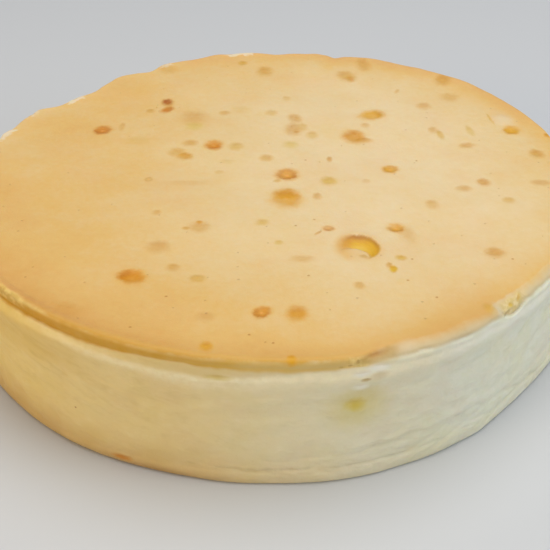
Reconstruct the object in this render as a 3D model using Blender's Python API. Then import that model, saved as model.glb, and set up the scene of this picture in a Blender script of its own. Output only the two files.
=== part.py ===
"""A whole baked New York style cheesecake, turned out of a nine inch ring and standing on its base.

One solid piece: a dense cream cheese cake with a browned top. The skin of the top ends in a narrow
rounded edge. Round most of the cake a groove lies right under that edge and a soft lip swells out
below it; at the front right the edge rolls down to the wall with no groove. The wall is nearly
upright with a slight waist, and the foot is a little rounded where it meets the table. The plan is
not a true circle, the rim is not level and has a few lobes and notches, and the cake leans a little,
as real ones do. The widest burst bubbles of the top are shallow dents.

Metres, +Z up. The origin is the centre of the footprint, on the table. -Y is the front.
"""
import math

import bmesh
import bpy

# ---------------------------------------------------------------- driving dimensions (metres)
RADIUS = 0.1130            # mean radius of the rim
HEIGHT = 0.0478            # mean height of the rim
FOOT_RATIO = 0.981         # the wall draws in this much from rim to foot
FOOT_IN = 0.0005           # and this much more
FOOT_WAVES = ((1, 0.0020, 322.0), (2, 0.0006, 320.0))   # the foot stands further out at the front right
FOOT_LOBES = ((208.0, 12.0, 0.0017), (263.0, 5.0, 0.0004), (291.0, 5.0, -0.0004), (306.0, 3.0, 0.0005), (319.0, 7.0, -0.0005))   # direction, half width (degrees), outwards
FOOT_ROUND = 0.0018        # rounding where the wall meets the table
EDGE_WIDE = 0.0016         # width of the rounded edge of the skin, seen from above
SLOPE_WIDE = 0.0027        # the same where the edge rolls down to the wall
GROOVE_IN = 0.0003         # how far the groove lies inside the skin's edge
LIP_DROP = 0.0070          # from the top down to the middle of the lip
LIP_OUT = 0.0004           # how far the lip swells past the rim
WAIST_DROP = 0.0150        # from the top down to the slight waist
WAIST_IN = 0.00065
BEAD = 0.0003              # the edge of the skin stands this much above the top inside it
DISH = 0.0011              # the middle has sunk this much while cooling

# Round the cake: (direction in degrees, value) stops, eased from one to the next
SKIN_OUT = (
    (6, -0.00015), (20, 0.0009), (185, 0.0009), (205, -0.0020), (228, -0.0020), (262, 0.00045), (281, 0.00045), (289, -0.00015),
)
SLOPED = ((6, 1.0), (20, 0.0), (281, 0.0), (289, 1.0))          # 1 where the edge rolls down to the wall
GROOVE_DROP = ((20, 0.0032), (185, 0.0032), (205, 0.0035), (245, 0.0036), (262, 0.0029), (281, 0.0029))

# Unevenness of the plan: (waves round the cake, share of the radius, angle of a crest in degrees)
PLAN_WAVES = ((2, 0.0300, 54.5), (3, 0.0087, 88.5), (4, 0.0092, 9.9), (5, 0.0055, -32.0), (6, 0.0092, -10.2))
# Unevenness of the rim's height, in metres
RIM_WAVES = ((1, 0.00128, 172.0), (2, 0.00132, 55.5))
# Lobes and notches of the rim: (direction in degrees, half width in degrees, outwards in metres)
LOBES = (
    (45.0, 3.0, 0.0006), (56.2, 1.8, 0.0005), (68.0, 4.4, 0.0018), (75.6, 1.4, -0.0026), (80.3, 1.8, 0.0012), (89.5, 3.2, -0.0017),
    (103.0, 2.2, 0.0014), (108.5, 2.6, -0.0007), (120.0, 2.4, -0.0030), (127.5, 3.0, 0.0019), (137.0, 3.4, -0.0022),
    (144.8, 3.6, -0.0016), (151.0, 2.0, 0.0026), (155.0, 3.0, 0.0012), (161.5, 2.2, -0.0016), (168.0, 4.0, -0.0034),
)
# Slow swells of the top: (wavelength, direction in degrees, phase in degrees, height), metres
SWELLS = ((0.092, 20.0, 40.0, 0.00022), (0.061, 105.0, 160.0, 0.00018), (0.047, 63.0, 300.0, 0.00013))

# Burst bubbles of the top: centre x, y, half width x, half width y, depth, in millimetres
BUBBLES = (
    (27.7, -52.0, 6.6, 7.0, 1.6),
    (5.3, -19.8, 4.4, 5.4, 0.8),
    (5.3, -2.6, 3.4, 3.8, 0.9),
    (40.2, 48.4, 3.5, 4.2, 0.8),
    (31.3, 29.5, 3.9, 4.2, 0.8),
    (-43.2, -72.1, 3.6, 3.9, 0.9),
    (93.9, 34.7, 2.9, 3.2, 0.8),
    (43.0, 2.5, 2.6, 2.6, 0.8),
)

SEGMENTS = 144
TOP_RINGS = 9              # rings of faces from the edge to the middle
BUBBLE_SEGMENTS, BUBBLE_RINGS = 20, 10


def waves(angle, table):
    """Sum of the unevenness waves at an angle round the cake."""
    return sum(size * math.cos(n * (angle - math.radians(crest))) for n, size, crest in table)


def eased(angle, stops):
    """Value at an angle round the cake, eased between the stops on either side of it."""
    degrees = math.degrees(angle) % 360.0
    for i, (start, value) in enumerate(stops):
        end, target = stops[(i + 1) % len(stops)]
        reach = (end - start) % 360.0
        gone = (degrees - start) % 360.0
        if gone <= reach:
            share = gone / reach
            return value + (target - value) * share * share * (3.0 - 2.0 * share)
    return stops[0][1]


def plan(angle):
    """Radius of the rim at an angle round the cake, without its lobes."""
    return RADIUS * (1.0 + waves(angle, PLAN_WAVES))


def humps(angle, table):
    """Sum of soft humps round the cake at an angle."""
    total = 0.0
    for centre, half, out in table:
        away = (math.degrees(angle) - centre + 180.0) % 360.0 - 180.0
        total += out * math.exp(-((away / half) ** 2))
    return total


def lobes(angle):
    """How far the rim's lobes and notches stand out from the plan."""
    return humps(angle, LOBES)


def foot_radius(angle):
    return plan(angle) * FOOT_RATIO - FOOT_IN + waves(angle, FOOT_WAVES) + humps(angle, FOOT_LOBES)


def rim_height(angle):
    return HEIGHT + waves(angle, RIM_WAVES)


def top_height(x, y):
    """Height of the browned top over a point, dished towards the middle with slow swells."""
    angle = math.atan2(y, x)
    share = min(1.0, math.hypot(x, y) / plan(angle))
    level = HEIGHT + (rim_height(angle) - HEIGHT) * share * share
    dish = DISH * (1.0 - share * share) ** 1.5
    fade = 1.0 - share ** 6
    swell = sum(
        h * math.cos(2 * math.pi / w * (x * math.cos(math.radians(d)) + y * math.sin(math.radians(d))) + math.radians(p))
        for w, d, p, h in SWELLS
    )
    return level - dish + swell * fade


def wall_profile(angle):
    """Points (radius, height) of the outside at an angle, from the table up to the top's edge."""
    rim, high, foot = plan(angle) + lobes(angle), rim_height(angle), foot_radius(angle)
    skin, slope, drop = eased(angle, SKIN_OUT), eased(angle, SLOPED), eased(angle, GROOVE_DROP)
    points = []
    for step in range(4):                                   # the rounded foot
        turn = math.radians(90.0 * step / 3)
        points.append((foot - FOOT_ROUND + FOOT_ROUND * math.sin(turn), FOOT_ROUND - FOOT_ROUND * math.cos(turn)))
    waist = high - WAIST_DROP
    for step in range(1, 5):                                # the wall, up to the waist
        share = step / 4
        rise = FOOT_ROUND + (waist - FOOT_ROUND) * share
        points.append((foot + (rim - WAIST_IN - foot) * share, rise))
    points.append((rim + 0.1 * LIP_OUT, high - LIP_DROP - 0.0032))
    points.append((rim + LIP_OUT, high - LIP_DROP))         # the lip

    # from the lip up: (out from the rim, down from the top), with the groove and without it
    groove = skin - GROOVE_IN
    grooved = (
        (groove + (LIP_OUT - groove) * 0.6, drop + (LIP_DROP - drop) * 0.3),
        (groove, drop),
        (skin - 0.3 * GROOVE_IN, drop * 0.5),
        (skin - 0.2 * EDGE_WIDE, 0.0005),
        (skin - EDGE_WIDE, 0.0001 - BEAD),
    )
    rolled = (
        (0.4 * LIP_OUT, 0.0046),
        (0.1 * LIP_OUT, 0.0036),
        (-0.05 * SLOPE_WIDE, 0.0024),
        (-0.28 * SLOPE_WIDE, 0.0014),
        (-SLOPE_WIDE, 0.00035),
    )
    for (out_a, down_a), (out_b, down_b) in zip(grooved, rolled):
        points.append((rim + out_a + (out_b - out_a) * slope, high - down_a - (down_b - down_a) * slope))
    return points


def build_cake():
    """The turned body: rings of the wall, rings of the top, and a fan that closes each end."""
    mesh = bmesh.new()
    angles = [2 * math.pi * i / SEGMENTS for i in range(SEGMENTS)]
    columns = [wall_profile(a) for a in angles]
    rings = []
    for level in range(len(columns[0])):
        rings.append([
            mesh.verts.new((columns[i][level][0] * math.cos(a), columns[i][level][0] * math.sin(a), columns[i][level][1]))
            for i, a in enumerate(angles)
        ])
    for ring in range(1, TOP_RINGS):                        # inwards over the top
        share = 1.0 - ring / TOP_RINGS
        row = []
        for i, a in enumerate(angles):
            reach = (columns[i][-1][0] + (plan(a) - columns[i][-1][0]) * (1.0 - share) * 0.5) * share
            x, y = reach * math.cos(a), reach * math.sin(a)
            row.append(mesh.verts.new((x, y, top_height(x, y))))
        rings.append(row)
    for lower, upper in zip(rings, rings[1:]):
        for i in range(SEGMENTS):
            j = (i + 1) % SEGMENTS
            mesh.faces.new((lower[i], lower[j], upper[j], upper[i]))
    middle = mesh.verts.new((0.0, 0.0, top_height(0.0, 0.0)))
    under = mesh.verts.new((0.0, 0.0, 0.0))
    for i in range(SEGMENTS):
        j = (i + 1) % SEGMENTS
        mesh.faces.new((rings[-1][i], rings[-1][j], middle))
        mesh.faces.new((rings[0][j], rings[0][i], under))
    # put the middle of the footprint's box on the origin
    xs, ys = [v.co.x for v in mesh.verts], [v.co.y for v in mesh.verts]
    shift = (-(min(xs) + max(xs)) / 2, -(min(ys) + max(ys)) / 2)
    for v in mesh.verts:
        v.co.x += shift[0]
        v.co.y += shift[1]
    data = bpy.data.meshes.new("cheesecake")
    mesh.to_mesh(data)
    mesh.free()
    cake = bpy.data.objects.new("cheesecake", data)
    bpy.context.scene.collection.objects.link(cake)
    return cake, shift


def add_bubble(cake, shift, number, x, y, wide, deep_y, depth):
    """A flattened ball that dents the top where a bubble has burst."""
    ball = bmesh.new()
    bmesh.ops.create_uvsphere(ball, u_segments=BUBBLE_SEGMENTS, v_segments=BUBBLE_RINGS, radius=1.0)
    x, y = x / 1000, y / 1000
    lift = 0.6 * depth / 1000                               # the ball's middle stands this far above the top
    half = depth / 1000 + lift
    widen = 1.0 / math.sqrt(1.0 - (lift / half) ** 2)       # so that its waterline has the named size
    for v in ball.verts:
        v.co.x *= wide / 1000 * widen
        v.co.y *= deep_y / 1000 * widen
        v.co.z *= half
    data = bpy.data.meshes.new(f"bubble_{number}")
    ball.to_mesh(data)
    ball.free()
    cutter = bpy.data.objects.new(f"bubble_{number}", data)
    cutter.location = (x + shift[0], y + shift[1], top_height(x, y) + lift)
    cutter.rotation_euler[2] = math.radians(17.0 * number)
    cutter.hide_render = True
    cutter.display_type = "WIRE"
    bpy.context.scene.collection.objects.link(cutter)
    cut = cake.modifiers.new(f"bubble_{number}", "BOOLEAN")
    cut.operation = "DIFFERENCE"
    cut.object = cutter


def baked_cheese():
    """Browned cream cheese: warm cream, soft and slightly moist."""
    material = bpy.data.materials.new("baked_cheese")
    material.use_nodes = True
    shader = material.node_tree.nodes["Principled BSDF"]
    shader.inputs["Base Color"].default_value = (0.80, 0.58, 0.29, 1.0)
    shader.inputs["Roughness"].default_value = 0.55
    shader.inputs["Metallic"].default_value = 0.0
    return material


def main():
    for old in list(bpy.data.objects):
        bpy.data.objects.remove(old, do_unlink=True)
    cake, shift = build_cake()
    for number, bubble in enumerate(BUBBLES):
        add_bubble(cake, shift, number, *bubble)
    cake.data.materials.append(baked_cheese())
    cake.data.shade_smooth()
    cake.data.set_sharp_from_angle(angle=math.radians(40))


main()
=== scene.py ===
"""The looks of a whole baked cheesecake: browned skin, groove, soft lip, pale wall, rounded foot.

Lengths in the tables are millimetres in the cake's plan: +X to the right seen from the front, -Y to the
front, angles counter-clockwise from +X. The mesh is made from one height field for the top and one
profile that runs down the wall and changes slowly round the cake.
"""

import math

import bpy
import numpy as np
from mathutils import Matrix, Vector


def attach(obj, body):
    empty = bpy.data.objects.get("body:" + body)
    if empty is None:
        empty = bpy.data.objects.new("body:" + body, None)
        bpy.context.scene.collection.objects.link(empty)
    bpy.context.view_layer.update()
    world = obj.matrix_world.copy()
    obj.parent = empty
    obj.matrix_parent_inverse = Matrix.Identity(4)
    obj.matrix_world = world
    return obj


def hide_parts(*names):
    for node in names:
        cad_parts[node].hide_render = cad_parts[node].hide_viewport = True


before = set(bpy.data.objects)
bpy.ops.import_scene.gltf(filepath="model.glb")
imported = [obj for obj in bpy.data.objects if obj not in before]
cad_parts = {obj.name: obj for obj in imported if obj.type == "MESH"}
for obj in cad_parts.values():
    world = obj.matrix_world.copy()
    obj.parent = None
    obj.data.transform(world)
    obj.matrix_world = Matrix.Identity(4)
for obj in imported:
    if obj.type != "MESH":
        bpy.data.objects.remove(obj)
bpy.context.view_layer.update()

# ------------------------------------------------------------------ the cake's driving sizes (mm)
RADIUS = 113.0
HEIGHT = 47.8
FOOT_RATIO = 0.981
FOOT_IN = 0.5
FOOT_WAVES = ((1, 2.0, 322.0), (2, 0.6, 320.0))
FOOT_LOBES = ((208.0, 12.0, 1.7), (263.0, 5.0, 0.4), (291.0, 5.0, -0.4), (306.0, 3.0, 0.5), (319.0, 7.0, -0.5))
LIP_OUT = 0.4
LIP_DROP = 7.0
GROOVE_IN = 0.3
DISH = 1.1
PLAN_WAVES = ((2, 0.0300, 54.5), (3, 0.0087, 88.5), (4, 0.0092, 9.9), (5, 0.0055, -32.0), (6, 0.0092, -10.2))
RIM_WAVES = ((1, 1.28, 172.0), (2, 1.32, 55.5))
SWELLS = ((92.0, 20.0, 40.0, 0.22), (61.0, 105.0, 160.0, 0.18), (47.0, 63.0, 300.0, 0.13))
# Lobes and notches of the rim: direction (deg), half width (deg), outwards (mm)
LOBES = (
    (45.0, 3.0, 0.6), (56.2, 1.8, 0.5), (68.0, 4.4, 1.8), (75.6, 1.4, -2.6), (80.3, 1.8, 1.2), (89.5, 3.2, -1.7),
    (103.0, 2.2, 1.4), (108.5, 2.6, -0.7), (120.0, 2.4, -3.0), (127.5, 3.0, 1.9), (137.0, 3.4, -2.2),
    (144.8, 3.6, -1.6), (151.0, 2.0, 2.6), (155.0, 3.0, 1.2), (161.5, 2.2, -1.6), (168.0, 4.0, -3.4),
)
# Round the cake: (direction in degrees, value) stops, eased from one to the next
SKIN_OUT = ((6, -0.15), (20, 0.9), (185, 0.9), (205, -2.0), (228, -2.0), (262, 0.45), (281, 0.45), (289, -0.15))
SLOPED = ((6, 1.0), (20, 0.0), (281, 0.0), (289, 1.0))
GROOVE_DROP = ((20, 3.2), (185, 3.2), (205, 3.5), (245, 3.6), (262, 2.9), (281, 2.9))
# how browned the rim is, and where the browned skin ends, as a run from the first ring (see the wall's profile)
RIM_BROWN = (
    (15, 0.34), (45, 0.56), (75, 0.58), (98, 0.36), (125, 0.10), (160, -0.10), (200, 0.22), (235, 0.38), (255, 0.40), (272, 0.50),
    (300, 0.52), (318, 0.38), (345, 0.28),
)
SKIN_END = (
    (4, 6.2), (20, 8.0), (196, 8.0), (206, 6.3), (229, 6.3), (240, 8.0), (281, 8.0), (286, 6.5), (295, 6.5), (302, 6.9), (305.7, 7.9),
    (307.6, 5.2), (312, 4.9), (316, 5.6), (320, 6.1),
)

CELLS = 188                      # cells across the square that is folded into the disc of the top
COLUMNS = 4 * CELLS              # columns of the wall
STEP_IN = 8.0                    # the wall's first ring lies this far inside the rim, on the top


# ------------------------------------------------------------------ small numeric helpers
def waves(angle, table):
    return sum(size * np.cos(n * (angle - math.radians(crest))) for n, size, crest in table)


def eased(angle, stops):
    """Value at an angle round the cake, eased between the stops on either side of it."""
    degrees = np.degrees(angle) % 360.0
    out = np.zeros_like(degrees)
    for i, (start, value) in enumerate(stops):
        end, target = stops[(i + 1) % len(stops)]
        reach = (end - start) % 360.0
        gone = (degrees - start) % 360.0
        share = np.clip(gone / reach, 0.0, 1.0)
        out = np.where(gone <= reach, value + (target - value) * share * share * (3.0 - 2.0 * share), out)
    return out


def plan(angle):
    return RADIUS * (1.0 + waves(angle, PLAN_WAVES))


def humps(angle, table):
    return sum(out * np.exp(-((turn_away(angle, centre) / half) ** 2)) for centre, half, out in table)


def lobes(angle):
    return humps(angle, LOBES)


def foot_radius(angle):
    return plan(angle) * FOOT_RATIO - FOOT_IN + waves(angle, FOOT_WAVES) + humps(angle, FOOT_LOBES)


def rim_height(angle):
    return HEIGHT + waves(angle, RIM_WAVES)


def sstep(lo, hi, x):
    t = np.clip((x - lo) / (hi - lo), 0.0, 1.0)
    return t * t * (3.0 - 2.0 * t)


def turn_away(angle, centre):
    """Signed angle in degrees from a direction round the cake."""
    return (np.degrees(angle) - centre + 180.0) % 360.0 - 180.0


def around(angle, centre, span):
    """A soft hump round the cake, 1 at its centre."""
    return np.exp(-((turn_away(angle, centre) / span) ** 2))


def arc_window(angle, start, end, soft):
    """1 between two directions, with soft ends."""
    mid, half = (start + end) / 2.0, (end - start) / 2.0
    a = np.abs(turn_away(angle, mid))
    return 1.0 - sstep(half - soft, half + soft, a)


class Noise:
    """Seeded gradient noise in three dimensions, about -1 to 1."""

    def __init__(self, seed):
        rng = np.random.RandomState(seed)
        self.p = np.concatenate([rng.permutation(256)] * 3)
        g = rng.normal(size=(256, 3))
        self.g = g / np.linalg.norm(g, axis=1)[:, None]

    def __call__(self, x, y, z=0.0):
        x, y, z = np.broadcast_arrays(np.asarray(x, float), np.asarray(y, float), np.asarray(z, float))
        xi, yi, zi = (np.floor(c).astype(int) for c in (x, y, z))
        xf, yf, zf = x - xi, y - yi, z - zi
        fu, fv, fw = (t * t * t * (t * (t * 6 - 15) + 10) for t in (xf, yf, zf))
        total = 0.0
        for dx in (0, 1):
            for dy in (0, 1):
                for dz in (0, 1):
                    h = self.p[(self.p[(self.p[(xi + dx) & 255] + ((yi + dy) & 255))] + ((zi + dz) & 255))]
                    g = self.g[h]
                    dot = g[..., 0] * (xf - dx) + g[..., 1] * (yf - dy) + g[..., 2] * (zf - dz)
                    wx = fu if dx else 1 - fu
                    wy = fv if dy else 1 - fv
                    wz = fw if dz else 1 - fw
                    total = total + dot * wx * wy * wz
        return total * 1.6


n_broad, n_mid, n_fine, n_lip, n_rim, n_tone = (Noise(s) for s in (11, 23, 37, 41, 53, 67))

# ------------------------------------------------------------------ marks of the browned top (mm)
# x, y, half width, half length, turn (deg), strength, hue (0 yellow .. 1 red brown), ring share,
# one-sided share (the dark side is the mark's own +Y), softness, relief (mm, down is negative)
MARKS = (
    # strong marks
    (4.7, -20.5, 4.8, 6.0, 3, 0.96, 0.24, 0.30, 0.8, 0.32, -0.35),
    (4.8, -2.4, 3.5, 3.8, 190, 1.00, 0.33, 0.80, 0.35, 0.42, -0.45),
    (-43.2, -72.1, 3.7, 4.1, 60, 1.00, 0.38, 0.15, 0.5, 0.24, -0.45),
    (40.2, 48.4, 3.9, 4.8, -50, 0.80, 0.20, 0.15, 0.3, 0.34, -0.4),
    (31.3, 29.5, 3.9, 4.8, 12, 0.72, 0.33, 0.0, 0.0, 0.40, -0.35),
    (34.6, 26.6, 3.2, 1.6, -8, 0.42, 0.40, 0.0, 0.0, 0.50, 0.0),
    (43.0, 2.5, 2.6, 2.7, 150, 0.94, 0.22, 0.6, 0.3, 0.40, -0.35),
    (40.7, -39.5, 2.5, 2.5, 180, 1.00, 0.24, 0.8, 0.75, 0.38, -0.4),
    (-67.4, 34.5, 3.1, 3.5, 170, 0.96, 0.52, 0.6, 0.25, 0.34, -0.35),
    (-22.9, 21.0, 2.9, 3.4, 182, 1.00, 0.45, 0.25, 0.5, 0.40, -0.35),
    (-44.2, 61.8, 2.1, 2.8, 10, 0.86, 0.655, 0.0, 0.0, 0.38, -0.25),
    (-43.6, 54.6, 1.9, 3.1, -28, 0.79, 0.54, 0.0, 0.0, 0.36, -0.25),
    (-43.6, 58.3, 1.5, 2.4, 0, 0.22, 0.45, 0.0, 0.0, 0.60, 0.0),
    (-3.4, -90.7, 2.3, 2.8, 150, 1.00, 0.36, 0.7, 0.4, 0.32, -0.3),
    (6.9, -91.0, 2.8, 3.3, 0, 0.76, 0.28, 0.0, 0.0, 0.42, -0.25),
    (-18.5, -107.6, 1.6, 1.9, 0, 0.84, 0.22, 0.2, 0.2, 0.50, -0.25),
    (93.9, 34.7, 2.9, 3.3, 160, 0.95, 0.20, 0.35, 0.5, 0.32, -0.45),
    (99.7, 14.7, 2.5, 2.9, 0, 0.50, 0.33, 0.0, 0.0, 0.45, -0.25),
    (37.3, -65.6, 1.15, 1.7, -8, 0.94, 0.10, 0.0, 0.0, 0.32, -0.3),
    (36.2, -63.4, 0.9, 1.4, -8, 0.50, 0.30, 0.0, 0.0, 0.50, 0.0),
    (71.2, -54.4, 2.8, 2.4, 20, 0.52, 0.35, 0.0, 0.0, 0.50, -0.2),
    (75.5, -8.0, 2.1, 2.3, 0, 0.54, 0.38, 0.0, 0.0, 0.45, -0.25),
    (67.6, -12.6, 2.3, 2.0, 0, 0.37, 0.34, 0.0, 0.0, 0.50, -0.15),
    (32.0, 88.0, 3.2, 4.6, 22, 0.49, 0.27, 0.0, 0.0, 0.55, -0.2),
    (33.5, 85.1, 1.4, 2.6, 10, 0.49, 0.44, 0.0, 0.0, 0.55, 0.0),
    (40.2, 100.2, 2.6, 6.2, 4, 0.35, 0.37, 0.0, 0.0, 0.50, -0.3),
    (73.6, 83.3, 2.9, 5.0, -12, 0.46, 0.38, 0.0, 0.0, 0.48, -0.3),
    (-4.0, 94.6, 2.9, 4.2, 4, 0.47, 0.31, 0.0, 0.0, 0.48, -0.2),
    (-47.2, 96.7, 3.4, 4.2, 20, 0.24, 0.29, 0.0, 0.0, 0.60, -0.15),
    (-14.0, 103.7, 1.8, 2.1, 0, 0.50, 0.21, 0.0, 0.0, 0.48, -0.2),
    (-33.1, 12.0, 2.6, 2.4, 0, 0.65, 0.27, 0.0, 0.0, 0.42, -0.25),
    (-36.5, 15.4, 2.8, 2.7, 0, 0.39, 0.25, 0.0, 0.0, 0.50, -0.2),
    (-32.1, 22.7, 2.4, 2.1, 0, 0.47, 0.30, 0.0, 0.0, 0.50, -0.15),
    (-19.9, 51.3, 1.9, 1.9, 0, 0.36, 0.32, 0.0, 0.0, 0.50, -0.2),
    (-24.5, -41.2, 3.1, 2.9, 0, 0.31, 0.36, 0.0, 0.0, 0.50, -0.2),
    (-24.7, -37.9, 0.9, 0.8, 0, 0.72, 0.34, 0.0, 0.0, 0.60, 0.0),
    (-28.9, -41.8, 1.1, 0.8, 0, 0.48, 0.35, 0.0, 0.0, 0.60, 0.0),
    (-31.2, -66.0, 1.8, 1.9, 0, 0.44, 0.32, 0.0, 0.0, 0.50, -0.1),
    (-23.3, -72.1, 2.1, 1.8, 0, 0.46, 0.20, 0.3, 0.3, 0.50, 0.12),
    (19.9, -7.2, 2.5, 2.8, 0, 0.52, 0.12, 0.0, 0.0, 0.45, -0.2),
    (74.1, 21.1, 2.6, 1.9, 18, 0.37, 0.44, 0.0, 0.0, 0.48, -0.15),
    (65.2, 30.3, 1.1, 3.2, 6, 0.45, 0.17, 0.0, 0.0, 0.50, -0.1),
    (62.8, 34.3, 1.4, 2.4, 0, 0.36, 0.28, 0.0, 0.0, 0.60, 0.0),
    (77.5, 33.9, 1.2, 3.8, 8, 0.31, 0.11, 0.0, 0.0, 0.55, 0.0),
    (87.4, 44.4, 0.45, 4.2, 8, 0.42, 0.16, 0.0, 0.0, 0.70, -0.3),
    (92.4, 43.6, 3.8, 5.4, 0, 0.24, 0.95, 0.0, 0.0, 0.60, 0.0),
    (20.9, 10.5, 0.9, 2.0, 0, 0.48, 0.41, 0.0, 0.0, 0.45, -0.15),
    (8.6, 46.0, 2.2, 3.4, 18, 0.47, 0.32, 0.0, 0.0, 0.50, -0.2),
    (11.8, 38.3, 1.5, 2.6, 0, 0.30, 0.18, 0.0, 0.0, 0.50, -0.1),
    (7.9, 36.1, 2.8, 4.4, 0, 0.40, 0.38, 0.0, 0.0, 0.50, -0.1),
    (9.1, 33.6, 0.9, 0.9, 0, 0.45, 0.48, 0.0, 0.0, 0.60, 0.0),
    (15.1, 30.8, 1.9, 2.8, 0, 0.34, 0.16, 0.0, 0.0, 0.50, 0.0),
    (36.6, 39.0, 1.5, 1.8, 0, 0.33, 0.30, 0.0, 0.0, 0.55, 0.0),
    (61.9, 56.5, 2.4, 2.9, 0, 0.36, 0.37, 0.0, 0.0, 0.55, 0.0),
    (74.1, 65.0, 3.2, 3.4, 0, 0.30, 0.30, 0.0, 0.0, 0.60, -0.1),
    (82.1, -20.7, 1.9, 1.8, 0, 0.38, 0.20, 0.0, 0.0, 0.50, -0.1),
    (96.1, -7.9, 3.0, 1.8, 0, 0.37, 0.42, 0.0, 0.0, 0.55, -0.1),
    (54.9, -23.9, 1.9, 2.5, 0, 0.35, 0.28, 0.0, 0.0, 0.55, 0.0),
    (15.3, -18.6, 1.3, 2.0, 0, 0.41, 0.36, 0.0, 0.0, 0.50, -0.1),
    (26.0, -75.4, 1.4, 1.7, 0, 0.43, 0.27, 0.2, 0.4, 0.50, -0.15),
    (9.2, -60.2, 3.4, 1.6, 0, 0.28, 0.27, 0.0, 0.0, 0.55, -0.1),
    (40.5, -58.7, 1.5, 1.4, 0, 0.58, 0.13, 0.0, 0.0, 0.50, -0.1),
    (18.3, -41.0, 1.7, 1.6, 200, 0.68, 0.41, 1.0, 0.6, 0.45, 0.15),
    (14.7, -44.1, 0.5, 1.5, -40, 0.41, 0.48, 0.0, 0.0, 0.50, 0.0),
    (-3.7, -37.9, 1.9, 1.7, 0, 0.40, 0.13, 0.0, 0.0, 0.55, 0.0),
    (-14.3, 20.2, 2.3, 2.8, 0, 0.40, 0.17, 0.0, 0.0, 0.55, 0.0),
    (-2.7, 11.1, 2.0, 2.2, 0, 0.47, 0.26, 0.0, 0.0, 0.50, -0.1),
    (-52.5, 24.5, 4.2, 3.0, 0, 0.17, 0.16, 0.0, 0.0, 0.60, 0.0),
    (-50.5, 53.3, 1.6, 1.6, 0, 0.43, 0.32, 0.0, 0.0, 0.55, 0.0),
    (-60.1, 37.9, 1.0, 3.0, 0, 0.32, 0.34, 0.0, 0.0, 0.60, 0.0),
    (-32.3, 46.5, 4.6, 5.6, 0, 0.27, 0.40, 0.0, 0.0, 0.60, -0.1),
    (-31.3, 37.8, 3.0, 3.2, 0, 0.28, 0.04, 0.0, 0.0, 0.60, 0.0),
    (-37.0, -53.6, 3.1, 3.1, 0, 0.34, 0.46, 0.0, 0.0, 0.60, 0.0),
    (-60.0, -91.0, 4.0, 2.6, -20, 0.18, 0.52, 0.0, 0.0, 0.70, 0.0),
    (1.3, -7.2, 1.2, 1.0, 0, 0.38, 0.28, 0.0, 0.0, 0.50, -0.1),
    (33.4, -7.2, 1.3, 1.5, 0, 0.21, 0.34, 0.0, 0.0, 0.50, 0.0),
    (5.5, 66.0, 1.5, 2.2, 0, 0.25, 0.23, 0.0, 0.0, 0.55, 0.0),
    (52.5, 71.7, 0.8, 2.0, -20, 0.26, 0.38, 0.0, 0.0, 0.50, -0.1),
    (44.2, -43.2, 2.2, 4.0, 10, 0.26, 0.30, 0.0, 0.0, 0.70, 0.0),
    (-0.8, 51.5, 2.0, 2.4, 0, 0.31, 0.20, 0.0, 0.0, 0.60, 0.0),
    (6.6, 22.4, 2.4, 2.6, 0, 0.31, 0.08, 0.0, 0.0, 0.60, 0.0),
    (-39.7, -31.2, 1.3, 1.5, 0, 0.34, 0.34, 0.0, 0.0, 0.60, 0.0),
    (-19.4, -93.3, 2.2, 2.0, 0, 0.20, 0.55, 0.0, 0.0, 0.60, 0.0),
    (1.7, -50.6, 1.2, 1.1, 0, 0.41, 0.13, 0.0, 0.0, 0.50, 0.0),
    (107.0, 30.6, 1.0, 1.4, 0, 0.86, 0.30, 0.0, 0.0, 0.50, 0.0),
    (-45.0, -6.1, 1.3, 1.6, 0, 0.34, 0.26, 0.9, 0.0, 0.45, -0.1),
    (-19.9, -0.3, 1.4, 1.2, 0, 0.24, 0.22, 0.0, 0.0, 0.60, 0.0),
    (-17.3, 7.8, 2.4, 1.4, 0, 0.20, 0.12, 0.0, 0.0, 0.60, 0.0),
    (-31.0, -8.8, 7.5, 1.6, 0, 0.13, 0.40, 0.0, 0.0, 0.60, 0.0),
    (-13.7, 54.2, 3.2, 3.0, 0, 0.16, 0.12, 0.0, 0.0, 0.60, 0.0),
    (-31.7, -82.9, 0.42, 0.38, 0, 0.42, 0.67, 0.0, 0.0, 0.45, 0.0),
    (-40.3, -99.3, 0.42, 0.38, 0, 0.42, 0.67, 0.0, 0.0, 0.45, 0.0),
    (-6.8, -101.8, 0.42, 0.38, 0, 0.42, 0.67, 0.0, 0.0, 0.45, 0.0),
    (-0.1, -105.3, 0.42, 0.38, 0, 0.42, 0.67, 0.0, 0.0, 0.45, 0.0),
    (48.8, -80.8, 0.42, 0.38, 0, 0.42, 0.67, 0.0, 0.0, 0.45, 0.0),
    (41.1, -72.0, 0.42, 0.38, 0, 0.42, 0.67, 0.0, 0.0, 0.45, 0.0),
    (10.8, -70.1, 0.42, 0.38, 0, 0.42, 0.67, 0.0, 0.0, 0.45, 0.0),
    (76.0, -58.3, 0.42, 0.38, 0, 0.42, 0.67, 0.0, 0.0, 0.45, 0.0),
    (12.0, 9.5, 0.42, 0.38, 0, 0.42, 0.67, 0.0, 0.0, 0.45, 0.0),
    (13.7, -35.3, 0.42, 0.38, 0, 0.42, 0.67, 0.0, 0.0, 0.45, 0.0),
    (7.4, -39.9, 0.42, 0.38, 0, 0.42, 0.67, 0.0, 0.0, 0.45, 0.0),
    (43.9, -59.3, 0.42, 0.38, 0, 0.42, 0.67, 0.0, 0.0, 0.45, 0.0),
    (53.5, 9.4, 0.42, 0.38, 0, 0.42, 0.67, 0.0, 0.0, 0.45, 0.0),
    (28.6, -58.4, 1.1, 0.9, 0, 0.55, 0.742, 0.0, 0.0, 0.60, 0.0),
)

# The open bubble: x, y, half width, half length
BUBBLE = (27.7, -52.5, 6.8, 7.8)

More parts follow.
